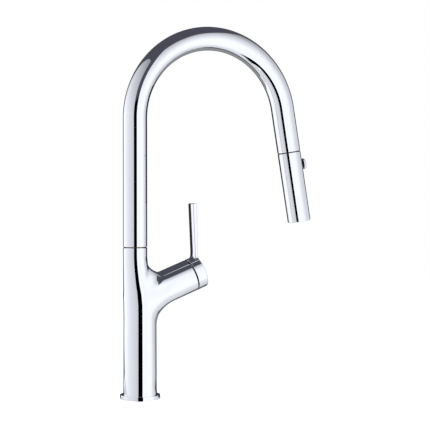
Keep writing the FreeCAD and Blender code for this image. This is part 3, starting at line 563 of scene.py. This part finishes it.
BEND_RADIUS, SPRING_LINE, LEG_LENGTH = spout_path()
LEG_LEAN = math.atan2(LEG_AXIS.x, -LEG_AXIS.z)
SEAM_HALF = node_reach("wand_shell", SEAM, LEG_AXIS)[0]


def path_station(distance):
    """The place and direction of the spout's centreline, at a distance from the spring line."""
    arc = BEND_RADIUS * (math.pi - LEG_LEAN)
    if distance <= 0:
        return Vector((NECK_X, 0, SPRING_LINE + distance)), Vector((0, 0, 1))
    if distance >= arc:
        return SEAM + LEG_AXIS * (distance - arc - LEG_LENGTH), LEG_AXIS
    turn = distance / BEND_RADIUS
    centre = Vector((NECK_X + BEND_RADIUS, 0, SPRING_LINE))
    place = centre + Vector((-math.cos(turn), 0, math.sin(turn))) * BEND_RADIUS
    return place, Vector((math.sin(turn), 0, math.cos(turn)))


SEAM_DISTANCE = BEND_RADIUS * (math.pi - LEG_LEAN) + LEG_LENGTH


def swept(bm, stations, count=128):
    """Rings of (distance, radius) along the spout's centreline, joined into a skin."""
    rings = []
    for distance, radius in stations:
        place, direction = path_station(distance)
        rings.append(ring_of(bm, frame_at(place, direction, SIDE), radius, 0, count))
    for first, second in zip(rings, rings[1:]):
        bridge(bm, first, second)
    return rings


def spaced(start, end, step):
    count = max(int(round(abs(end - start) / step)), 1)
    return [start + (end - start) * index / count for index in range(count + 1)]


TUBE_WALL = 1.2 * MM
STEP_OUTSIDE, STEP_INSIDE = 2 * MM, 4 * MM


def spout_tube():
    """The bent tube, with its rims eased and its bore open at both ends."""
    bore = TUBE_RADIUS - TUBE_WALL
    start = TUBE_LOW.z + SEAM_EXTRA - SPRING_LINE
    end = SEAM_DISTANCE - SEAM_HALF - SEAM_EXTRA
    arc = SEAM_DISTANCE - LEG_LENGTH
    outer = [start + RIM_BEVEL, start / 2] + spaced(0, arc, STEP_OUTSIDE) + [end - RIM_BEVEL]
    stations = [(start, TUBE_RADIUS - RIM_BEVEL)] + [(distance, TUBE_RADIUS) for distance in outer]
    stations += [(end, TUBE_RADIUS - RIM_BEVEL), (end, bore)]
    stations += [(distance, bore) for distance in spaced(arc, 0, STEP_INSIDE)]
    stations += [(start, bore)]
    bm = bmesh.new()
    rings = swept(bm, stations)
    bridge(bm, rings[-1], rings[0])
    new_piece("spout_skin", bm, "spout", "chrome_plate", ["spout_tube"])


spout_tube()

# ---------------------------------------------------------------- spray wand and its button

LEG_FRAME = frame_at(SEAM, LEG_AXIS, BUTTON_OUT)
WAND_LOW, WAND_HIGH = node_reach("wand_shell", SEAM, LEG_AXIS)
WAND_WALL = 1.6 * MM
DOCK_BORE = 9.5 * MM
DOCK_ROOF = 2.2 * MM
WINDOW_ROOM = 0.1 * MM
WINDOW_SPAN = (10 * MM, 20 * MM)
ON_WALL = 0.01 * MM
BUTTON_AT = sum(node_reach("spray_button", SEAM, LEG_AXIS)) / 2
BUTTON_FRAME = frame_at(SEAM + LEG_AXIS * BUTTON_AT, BUTTON_OUT, LEG_AXIS)


def stadium_ring(bm, half_length, half_width, height, count=64):
    """A closed ring with round ends, long way down the wand, at a height off the wand's axis."""
    straight = half_length - half_width
    ring = []
    for index in range(count):
        turn = 2 * math.pi * (index + 0.5) / count
        along_wand = half_width * math.cos(turn) + math.copysign(straight, math.cos(turn))
        place = Vector((along_wand, half_width * math.sin(turn), height))
        ring.append(bm.verts.new(BUTTON_FRAME @ place))
    return ring


def stadium_body(bm, profile):
    """A closed body of stadium rings from (half length, half width, height) triples."""
    rings = [stadium_ring(bm, *step) for step in profile]
    for first, second in zip(rings, rings[1:]):
        bridge(bm, first, second)
    bm.faces.new(rings[0])
    bm.faces.new(rings[-1])


def node_half_sizes(node):
    """Half the length down the wand and half the width of a CAD node round the button."""
    low, high = node_reach(node, SEAM, LEG_AXIS)
    return (high - low) / 2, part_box(node)[1].y


def wand_shell():
    """The wand's shell, open below, with a roof at the dock and a window for the button."""
    bm = bmesh.new()
    bore = TUBE_RADIUS - WAND_WALL
    top = WAND_LOW + SEAM_EXTRA
    turned(bm, LEG_FRAME, [
        (DOCK_BORE, top), (TUBE_RADIUS - RIM_BEVEL, top),
        (TUBE_RADIUS, top + RIM_BEVEL), (TUBE_RADIUS, WAND_HIGH - RIM_BEVEL),
        (TUBE_RADIUS - RIM_BEVEL, WAND_HIGH), (bore, WAND_HIGH),
        (bore, WAND_LOW + DOCK_ROOF), (DOCK_BORE, WAND_LOW + DOCK_ROOF)])
    piece = new_piece("wand_skin", bm, None, "chrome_plate")
    cutter_mesh = bmesh.new()
    half_length, half_width = node_half_sizes("button_bezel")
    stadium_body(cutter_mesh, [(half_length + WINDOW_ROOM, half_width + WINDOW_ROOM, height)
                               for height in WINDOW_SPAN])
    cutter = new_piece("button_window", cutter_mesh, None, "chrome_plate")
    window = piece.modifiers.new("window", "BOOLEAN")
    window.object = cutter
    window.solver = "EXACT"
    bpy.context.view_layer.update()
    evaluated = piece.evaluated_get(bpy.context.evaluated_depsgraph_get())
    mesh = bpy.data.meshes.new_from_object(evaluated)
    piece.modifiers.clear()
    piece.data = mesh
    bpy.data.objects.remove(cutter)
    round_normals(mesh)
    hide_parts("wand_shell")
    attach(piece, "wand")


def round_normals(mesh):
    """Exact radial normals on the wand's outer wall, whatever the window did to its faces."""
    inverse = LEG_FRAME.inverted()
    flat = Vector((1, 1, 0))
    local = [(inverse @ vertex.co) * flat for vertex in mesh.vertices]
    outside = [abs(point.length - TUBE_RADIUS) < ON_WALL for point in local]
    turn = LEG_FRAME.to_3x3()
    normals = [Vector(corner.vector) for corner in mesh.corner_normals]
    for polygon in mesh.polygons:
        if all(outside[index] for index in polygon.vertices):
            for corner in polygon.loop_indices:
                normals[corner] = turn @ local[mesh.loops[corner].vertex_index].normalized()
    mesh.normals_split_custom_set(normals)


BUTTON_BRIM = 1.1 * MM
BUTTON_EXTRA = 1.5 * MM
BUTTON_SKIRT = 0.7 * MM
BUTTON_EDGE = 0.5 * MM
BUTTON_CREST = 0.2 * MM
SKIRT_ROOM = 0.15 * MM
DOME_STEPS = 12


def spray_button():
    """The pillow shaped chrome cap of the spray button, with a skirt that clears the bezel."""
    low, high = node_reach("spray_button", SEAM, BUTTON_OUT)
    skirt = low - BUTTON_SKIRT
    bezel_length, bezel_width = node_half_sizes("button_bezel")
    half_length, half_width = node_half_sizes("spray_button")
    half_length, half_width = half_length + BUTTON_BRIM, half_width + BUTTON_BRIM / 2
    dome = high + BUTTON_EXTRA - skirt - 2 * BUTTON_EDGE
    rim = high + BUTTON_EXTRA - dome
    profile = [(bezel_length + SKIRT_ROOM, bezel_width + SKIRT_ROOM, height)
               for height in (low, skirt)]
    profile += [(half_length - BUTTON_EDGE, half_width - BUTTON_EDGE, skirt)]
    for turn in spaced(0.4, math.pi / 2, 0.3):
        inset = BUTTON_EDGE * (1 - math.sin(turn))
        lift = BUTTON_EDGE * (1 - math.cos(turn))
        profile.append((half_length - inset, half_width - inset, skirt + lift))
    for step in range(DOME_STEPS + 1):
        turn = math.pi / 2 * step / DOME_STEPS
        inset = (half_width - BUTTON_CREST) * (1 - math.cos(turn))
        profile.append((half_length - inset, half_width - inset, rim + dome * math.sin(turn)))
    bm = bmesh.new()
    stadium_body(bm, profile)
    new_piece("button_cap", bm, "button", "chrome_plate", ["spray_button"], sharp_angle=50)


SPRING_WIRE = 0.35 * MM
SPRING_RADIUS = 2.7 * MM
SPRING_TURNS = 5
STEPS_PER_TURN = 24
WIRE_COUNT = 10


def button_coil():
    """The button's return spring, between the wand and the button."""
    low, high = node_reach("button_spring", SEAM, BUTTON_OUT)
    steps = STEPS_PER_TURN * SPRING_TURNS
    rise = high - low - 2 * SPRING_WIRE
    bm = bmesh.new()
    rings = []
    for step in range(steps + 1):
        turn = 2 * math.pi * SPRING_TURNS * step / steps
        centre = Vector((SPRING_RADIUS * math.cos(turn), SPRING_RADIUS * math.sin(turn),
                         low + SPRING_WIRE + rise * step / steps))
        heading = Vector((-SPRING_RADIUS * math.sin(turn), SPRING_RADIUS * math.cos(turn),
                          rise / (2 * math.pi * SPRING_TURNS)))
        local = frame_at(centre, heading.normalized(), Vector((0, 0, 1)))
        rings.append(ring_of(bm, BUTTON_FRAME @ local, SPRING_WIRE, 0, WIRE_COUNT))
    for first, second in zip(rings, rings[1:]):
        bridge(bm, first, second)
    bm.faces.new(rings[0])
    bm.faces.new(rings[-1])
    piece = new_piece("button_coil", bm, None, "spring_steel")
    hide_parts("button_spring")
    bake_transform(piece)


wand_shell()
spray_button()
button_coil()

# ---------------------------------------------------------------- handle

CAP_START = node_reach("handle", BRANCH_ORIGIN, BRANCH_AXIS)[0]
CAP_END = 81.3 * MM
CAP_EDGE = 1.2 * MM
LEVER_FOOT = Vector((68.45, 0, 158.0)) * MM
LEVER_TIP = Vector((66.2, 0, HANDLE_HIGH.z / MM)) * MM
LEVER_HALF = (7.5 * MM, 1.9 * MM)
LEVER_SPREAD = 0.9 * MM
ROOT_EXTRA = (1.5 * MM, 0.9 * MM)
ROOT_HEIGHT = 14 * MM
LEVER_CORNER = 0.9 * MM
LEVER_CROWN = 0.25 * MM
LEVER_FILLET = 4.5 * MM
TIP_EDGE = 0.5 * MM
HANDLE_VOXELS = (0.8 * MM, 0.5 * MM)
HANDLE_CUT = 1.0 * MM
RING_COUNT = 96

SEAT_OUTER, SEAT_INNER, SEAT_DEPTH = 18.8 * MM, 17.2 * MM, 2.9 * MM
CAVITY_RADIUS, CAVITY_DEPTH, CAVITY_CENTRE = 15.2 * MM, 5.0 * MM, 2.0 * MM
BONNET_HOLE, BONNET_RADIUS = 9.2 * MM, 18.15 * MM
LIP_INNER, LIP_OUTER, LIP_RISE = 13.2 * MM, 14.8 * MM, 0.3 * MM
# offset of the black liner that paints shade on the cap's back face
SHADE_LINER_WALL = 0.05 * MM


def cap_field(points):
    """The handle's cap: a cylinder with a rounded outer edge."""
    relative = points - np.array(BRANCH_ORIGIN)
    height = relative @ np.array(BRANCH_AXIS)
    radius = np.linalg.norm(relative - height[:, None] * np.array(BRANCH_AXIS), axis=1)
    side = radius - (COLUMN_RADIUS - CAP_EDGE)
    end = height - (CAP_END - CAP_EDGE)
    corner = np.hypot(np.maximum(side, 0), np.maximum(end, 0))
    return np.minimum(np.maximum(side, end), 0) + corner - CAP_EDGE


def lever_field(points):
    """The lever: a slightly crowned blade with eased corners that swells towards its root."""
    axis = np.array((LEVER_TIP - LEVER_FOOT).normalized())
    across = np.array(SIDE)
    face = np.cross(axis, across)
    length = (LEVER_TIP - LEVER_FOOT).length
    relative = points - np.array(LEVER_FOOT)
    height = relative @ axis
    swell = np.clip(1 - height / ROOT_HEIGHT, 0, 1) ** 2
    spread = LEVER_SPREAD * np.clip(height / length, 0, 1.2)
    half_width = LEVER_HALF[0] + ROOT_EXTRA[0] * swell
    half_thick = LEVER_HALF[1] + spread + ROOT_EXTRA[1] * swell
    width = relative @ across
    half_thick = half_thick - LEVER_CROWN * (width / half_width) ** 2
    wide = np.abs(width) - (half_width - LEVER_CORNER)
    thick = np.abs(relative @ face) - (half_thick - LEVER_CORNER)
    corner = np.hypot(np.maximum(wide, 0), np.maximum(thick, 0))
    blade = np.minimum(np.maximum(wide, thick), 0) + corner - LEVER_CORNER
    side, end = blade + TIP_EDGE, height - length + TIP_EDGE
    edge = np.hypot(np.maximum(side, 0), np.maximum(end, 0))
    return np.maximum(np.minimum(np.maximum(side, end), 0) + edge - TIP_EDGE, -height)


def handle():
    """The cap and lever in one skin, hollowed from the cap's rim."""
    field = joined_field(cap_field, lever_field, lambda points: LEVER_FILLET)
    spare = 3 * MM
    start = bmesh.new()
    turned(start, BRANCH_FRAME, [
        (0, CAP_START - spare), (COLUMN_RADIUS, CAP_START - spare),
        (COLUMN_RADIUS, CAP_END), (0, CAP_END)], RING_COUNT)
    axis = (LEVER_TIP - LEVER_FOOT).normalized()
    blade = frame_at(LEVER_FOOT, axis, SIDE)
    ends = (0, (LEVER_TIP - LEVER_FOOT).length)
    columns = [[start.verts.new(blade @ Vector((x * LEVER_HALF[0], y * LEVER_HALF[1], end)))
                for x, y in ((-1, -1), (1, -1), (1, 1), (-1, 1))] for end in ends]
    bridge(start, *columns)
    for corners in columns:
        start.faces.new(corners)
    bmesh.ops.recalc_face_normals(start, faces=start.faces)
    bm = skin(start, field, HANDLE_VOXELS)
    back = BRANCH_FRAME @ Matrix.Rotation(math.pi, 4, "X")
    cut_rim(bm, back, -(CAP_START + HANDLE_CUT), [
        (COLUMN_RADIUS, -(CAP_START + GAP_EXTRA + GAP_BEVEL)),
        (COLUMN_RADIUS - GAP_BEVEL, -(CAP_START + GAP_EXTRA)),
        (SEAT_OUTER, -(CAP_START + GAP_EXTRA)), (SEAT_INNER, -(CAP_START + SEAT_DEPTH)),
        (CAVITY_RADIUS, -(CAP_START + CAVITY_DEPTH)),
        (CAVITY_CENTRE, -(CAP_START + CAVITY_DEPTH))], close=True)
    piece = new_piece("handle_skin", bm, "handle", "chrome_plate", ["handle"])
    polish(piece, field)


def gap_ring(name, body, nodes, profile):
    """A black ring in the gap between the branch and the handle's cap; its black is partly a part's own
    colour and partly painted shade in the gap.
    """
    bm = bmesh.new()
    turned(bm, BRANCH_FRAME, profile, RING_COUNT)
    new_piece(name, bm, body, "black_plastic", nodes)


def gap_rings():
    """The black bonnet ring, with a thin black flange over the branch's mouth that paints shade into
    the gap, and a black liner on the cap's back face that is painted shade.
    """
    ring_low, ring_high = node_reach("bonnet_ring", BRANCH_ORIGIN, BRANCH_AXIS)
    # painted shade: the bonnet's black flange runs out almost to the skin, so the gap over the branch's
    # mouth shows dark where there is only shade
    shade_flange = COLUMN_RADIUS - 2 * GAP_BEVEL
    gap_ring("bonnet_skin", "body", ["bonnet_ring"], [
        (BONNET_HOLE, ring_low), (BONNET_RADIUS, ring_low),
        (BONNET_RADIUS, BRANCH_END - GAP_EXTRA), (shade_flange, BRANCH_END - GAP_EXTRA),
        (shade_flange, BRANCH_END), (LIP_OUTER, BRANCH_END),
        (LIP_OUTER, CAP_START + LIP_RISE), (LIP_INNER, CAP_START + LIP_RISE),
        (LIP_INNER, ring_high), (BONNET_HOLE, ring_high)])
    # painted shade: a black liner over the cap's back face, no real part, darkens the gap from the
    # cap's side
    back = CAP_START + GAP_EXTRA + SHADE_LINER_WALL
    gap_ring("cap_painted_shade_liner", "handle", (), [
        (shade_flange, CAP_START), (SEAT_OUTER, CAP_START), (SEAT_INNER, CAP_START + SEAT_DEPTH),
        (SEAT_INNER + 0.3 * MM, CAP_START + SEAT_DEPTH + 0.1 * MM),
        (SEAT_OUTER + 0.15 * MM, back), (shade_flange, back)])


handle()
gap_rings()

# ---------------------------------------------------------------- base ring


RING_BORE = 17.6 * MM
RING_FOOT = 0.2 * MM
FOOT_EDGE, TOP_EDGE = 0.3 * MM, 0.8 * MM


def base_ring():
    """The flat escutcheon ring under the column, with its top edge eased."""
    outer = RING_HIGH.y
    profile = [(RING_BORE, RING_FOOT)]
    profile += rounded((outer, RING_FOOT), (RING_BORE, RING_FOOT), (outer, RING_TOP), FOOT_EDGE)
    profile += rounded((outer, RING_TOP), (outer, 0), (RING_BORE, RING_TOP), TOP_EDGE)
    profile += [(RING_BORE, RING_TOP)]
    bm = bmesh.new()
    turned(bm, Matrix.Identity(4), profile, 160)
    new_piece("ring_skin", bm, "body", "chrome_plate", ["base_ring"])


base_ring()

# ---------------------------------------------------------------- braided hose

HOSE_RADIUS = 4.5 * MM
HOSE_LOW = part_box("spray_hose")[0].z
LEAD_LENGTH = LEG_LENGTH - 4 * MM
FERRULE_TOP = -node_reach("hose_ferrule", SEAM, LEG_AXIS)[0]
PULL = JOINTS["hose_pull"]["range_m"][1]
BRAID_PITCH = 24 * MM
HOSE_STEP, HOSE_COUNT = 2 * MM, 32


def hose_run(name, start, end, stretch=0.0):
    """A length of hose between two distances, with its braid laid out in UV.

    stretch is how much longer the run is when the wand is pulled right out, so that the braid has
    its true pitch there."""
    distances = spaced(start, end, HOSE_STEP)
    bm = bmesh.new()
    rings = swept(bm, [(distance, HOSE_RADIUS) for distance in distances], HOSE_COUNT)
    bm.faces.new(rings[0])
    bm.faces.new(rings[-1])
    layer = bm.loops.layers.uv.new("braid")
    place_of = {}
    for distance, ring in zip(distances, rings):
        share = (distance - start) / (end - start)
        paid_out = stretch * share * share * (3 - 2 * share)
        for index, vertex in enumerate(ring):
            place_of[vertex] = (index / len(ring), (distance - start + paid_out) / BRAID_PITCH)
    for face in bm.faces:
        turns = [place_of[vertex][0] for vertex in face.verts]
        wraps = max(turns) - min(turns) > 0.5
        for loop in face.loops:
            turn, along_hose = place_of[loop.vert]
            loop[layer].uv = (turn + 1 if wraps and turn < 0.5 else turn, along_hose)
    return new_piece(name, bm, None, "braided_hose")


def hose():
    """The hose in two runs: one that stays in the spout, and one that runs on to the wand."""
    lead_start = SEAM_DISTANCE - LEAD_LENGTH
    lead_end = SEAM_DISTANCE - FERRULE_TOP
    fixed = hose_run("hose_in_spout", HOSE_LOW - SPRING_LINE, lead_start)
    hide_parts("spray_hose")
    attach(fixed, "spout")
    lead = hose_run("hose_to_wand", lead_start, lead_end, PULL)
    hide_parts("hose_lead")
    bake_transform(lead)


hose()

# ---------------------------------------------------------------- camera, floor and light

CAMERA_PLACE = Vector((-0.5474, -1.4364, 0.2397))
CAMERA_FORWARD = unit((0.4083, 0.9127, -0.0171))
COOL_WHITE = (1.0, 1.02, 1.09)
TOWARDS_CAMERA = unit((-CAMERA_FORWARD.x, -CAMERA_FORWARD.y, 0))
RIGHTWARDS = unit((CAMERA_FORWARD.y, -CAMERA_FORWARD.x, 0))


def studio_point(right, near, height):
    """A place in the studio: right and near as the camera sees them, and height above the deck."""
    point = RIGHTWARDS * right + TOWARDS_CAMERA * near
    return Vector((point.x, point.y, height))


def glow(name, tones, dim_from=1.0, dim_to=1.0, tint=COOL_WHITE):
    """A light card's finish. tones are (place along the card, brightness); the card also dims to
    dim_to at its top edge, from the height dim_from."""
    material = bpy.data.materials.new(name)
    material.use_nodes = True
    tree = material.node_tree
    tree.nodes.clear()
    output = tree.nodes.new("ShaderNodeOutputMaterial")
    emission = tree.nodes.new("ShaderNodeEmission")
    tree.links.new(emission.outputs["Emission"], output.inputs["Surface"])
    ramp = tree.nodes.new("ShaderNodeValToRGB")
    elements = ramp.color_ramp.elements
    while len(elements) < len(tones):
        elements.new(0.5)
    for element, (position, tone) in zip(elements, tones):
        element.position = position
        element.color = [tone * share for share in tint] + [1.0]
    place = tree.nodes.new("ShaderNodeUVMap")
    split = tree.nodes.new("ShaderNodeSeparateXYZ")
    dim = tree.nodes.new("ShaderNodeMapRange")
    dim.inputs["From Min"].default_value = dim_from
    dim.inputs["From Max"].default_value = 1.0
    dim.inputs["To Min"].default_value = 1.0
    dim.inputs["To Max"].default_value = dim_to
    tree.links.new(place.outputs["UV"], split.inputs["Vector"])
    tree.links.new(split.outputs["X"], ramp.inputs["Fac"])
    tree.links.new(split.outputs["Y"], dim.inputs["Value"])
    tree.links.new(ramp.outputs["Color"], emission.inputs["Color"])
    tree.links.new(dim.outputs["Result"], emission.inputs["Strength"])
    return material


def card(name, corners, material):
    """A light card seen only in reflections. corners run along the card; each is a column of points."""
    bm = bmesh.new()
    layer = bm.loops.layers.uv.new("UVMap")
    columns = [[bm.verts.new(point) for point in column] for column in corners]
    for index in range(len(columns) - 1):
        face = bm.faces.new((columns[index][0], columns[index + 1][0],
                             columns[index + 1][1], columns[index][1]))
        places = ((index, 0), (index + 1, 0), (index + 1, 1), (index, 1))
        for loop, (u, v) in zip(face.loops, places):
            loop[layer].uv = (u / (len(columns) - 1), v)
    mesh = bpy.data.meshes.new(name)
    bm.to_mesh(mesh)
    bm.free()
    mesh.materials.append(material)
    item = bpy.data.objects.new(name, mesh)
    item.visible_camera = False
    item.visible_shadow = False
    bpy.context.scene.collection.objects.link(item)
    return item


CARD_TOP = 0.77
CARD_FOOT = -0.25
FLOOR_CARD = -0.03
GAP_LEFT, GAP_RIGHT, GAP_NEAR = -0.056, 0.140, 0.385
CARD_LEFT, CARD_RIGHT = -0.90, 0.42
FLOOR_EDGE, BACK_EDGE = -0.17, -0.24


def wall(path):
    """Upright card columns over a path of (right, near) points."""
    return [[studio_point(right, near, CARD_FOOT), studio_point(right, near, CARD_TOP)]
            for right, near in path]


def level(left, right, near, far, height):
    """The two ends of a level card."""
    return [[studio_point(side, near, height), studio_point(side, far, height)]
            for side in (left, right)]


def light_cards():
    """The light tent: two walls with a dark gap between them, a floor and a dim ceiling."""
    card("left_card", wall([(GAP_LEFT, GAP_NEAR), (-0.19, 0.143), (-0.676, -0.680)]),
         glow("left_glow", [(0.0, 0.58), (0.5, 0.76), (0.57, 0.90), (0.65, 1.04), (1.0, 0.95)],
              0.60, 0.42))
    card("right_card", wall([(GAP_RIGHT, GAP_NEAR), (0.28, 0.30), (0.36, 0.14), (0.345, -0.23)]),
         glow("right_glow", [(0.0, 1.04), (0.33, 0.97), (0.6, 1.04), (0.75, 0.98), (0.85, 0.72),
                             (1.0, 0.62)], 0.60, 0.42))
    white = glow("floor_glow", [(0.0, 1.0), (1.0, 1.0)], 0.2, 0.8)
    card("floor_card_left", level(CARD_LEFT, GAP_LEFT, GAP_NEAR, 0.0, CARD_FOOT), white)
    card("floor_card_right", level(GAP_RIGHT, CARD_RIGHT, GAP_NEAR, 0.0, CARD_FOOT), white)
    card("floor_card_middle", level(CARD_LEFT, CARD_RIGHT, 0.02, FLOOR_EDGE, FLOOR_CARD),
         glow("middle_glow", [(0.0, 0.8), (1.0, 0.8)], 0.2, 0.7))
    card("floor_card_back", level(-1.5, 1.5, BACK_EDGE, -1.5, FLOOR_CARD),
         glow("back_glow", [(0.0, 0.27), (1.0, 0.27)]))
    card("ceiling_card", level(-2, 2, 2, -2, CARD_TOP + 0.01),
         glow("ceiling_glow", [(0.0, 0.070), (1.0, 0.070)], tint=(1.0, 1.0, 1.32)))


light_cards()


def studio_floor():
    """A plain pale floor under the deck face."""
    bm = bmesh.new()
    half = 4.0
    corners = ((-half, -half), (half, -half), (half, half), (-half, half))
    bm.faces.new([bm.verts.new((x, y, 0.0)) for x, y in corners])
    mesh = bpy.data.meshes.new("studio_floor")
    bm.to_mesh(mesh)
    bm.free()
    finish = Finish("studio_floor_finish")
    finish.colours(finish.noise(2.0), (0.3, (0.90, 0.90, 0.90)), (0.7, (0.94, 0.94, 0.94)))
    finish.shader.inputs["Roughness"].default_value = 0.9
    finish.shader.inputs["Emission Color"].default_value = (1.0, 1.0, 1.0, 1.0)
    finish.shader.inputs["Emission Strength"].default_value = 1.0
    mesh.materials.append(finish.material)
    floor = bpy.data.objects.new("studio_floor", mesh)
    floor.visible_glossy = False
    floor.visible_shadow = False
    bpy.context.scene.collection.objects.link(floor)


studio_floor()


def studio_world():
    """White behind the object for the eye, and a dim room behind it in the reflections."""
    world = bpy.data.worlds.new("studio")
    world.use_nodes = True
    tree = world.node_tree
    tree.nodes.clear()
    output = tree.nodes.new("ShaderNodeOutputWorld")
    seen = tree.nodes.new("ShaderNodeBackground")
    seen.inputs["Color"].default_value = (1.0, 1.0, 1.0, 1.0)
    mirrored = tree.nodes.new("ShaderNodeBackground")
    mirrored.inputs["Color"].default_value = (0.0, 0.0, 0.0, 1.0)
    place = tree.nodes.new("ShaderNodeTexCoord")
    facing = tree.nodes.new("ShaderNodeVectorMath")
    facing.operation = "DOT_PRODUCT"
    facing.inputs[1].default_value = -TOWARDS_CAMERA
    tree.links.new(place.outputs["Generated"], facing.inputs[0])
    ramp = tree.nodes.new("ShaderNodeValToRGB")
    elements = ramp.color_ramp.elements
    elements[0].position, elements[0].color = 0.45, (0.0, 0.0, 0.0, 1.0)
    elements[1].position, elements[1].color = 1.0, (0.045, 0.045, 0.056, 1.0)
    middle = elements.new(0.6)
    middle.color = (0.02, 0.02, 0.026, 1.0)
    tree.links.new(facing.outputs["Value"], ramp.inputs["Fac"])
    tree.links.new(ramp.outputs["Color"], mirrored.inputs["Color"])
    path = tree.nodes.new("ShaderNodeLightPath")
    mix = tree.nodes.new("ShaderNodeMixShader")
    tree.links.new(path.outputs["Is Camera Ray"], mix.inputs["Fac"])
    tree.links.new(mirrored.outputs["Background"], mix.inputs[1])
    tree.links.new(seen.outputs["Background"], mix.inputs[2])
    tree.links.new(mix.outputs["Shader"], output.inputs["Surface"])
    bpy.context.scene.world = world


studio_world()


def studio_camera():
    """The photograph's viewpoint, with a long lens."""
    data = bpy.data.cameras.new("photo_view")
    data.sensor_width = 36.0
    data.lens = 111.0
    data.clip_end = 50.0
    item = bpy.data.objects.new("photo_view", data)
    item.location = CAMERA_PLACE
    item.rotation_euler = CAMERA_FORWARD.to_track_quat("-Z", "Y").to_euler()
    bpy.context.scene.collection.objects.link(item)
    bpy.context.scene.camera = item


studio_camera()
bpy.context.scene.view_settings.view_transform = "Standard"
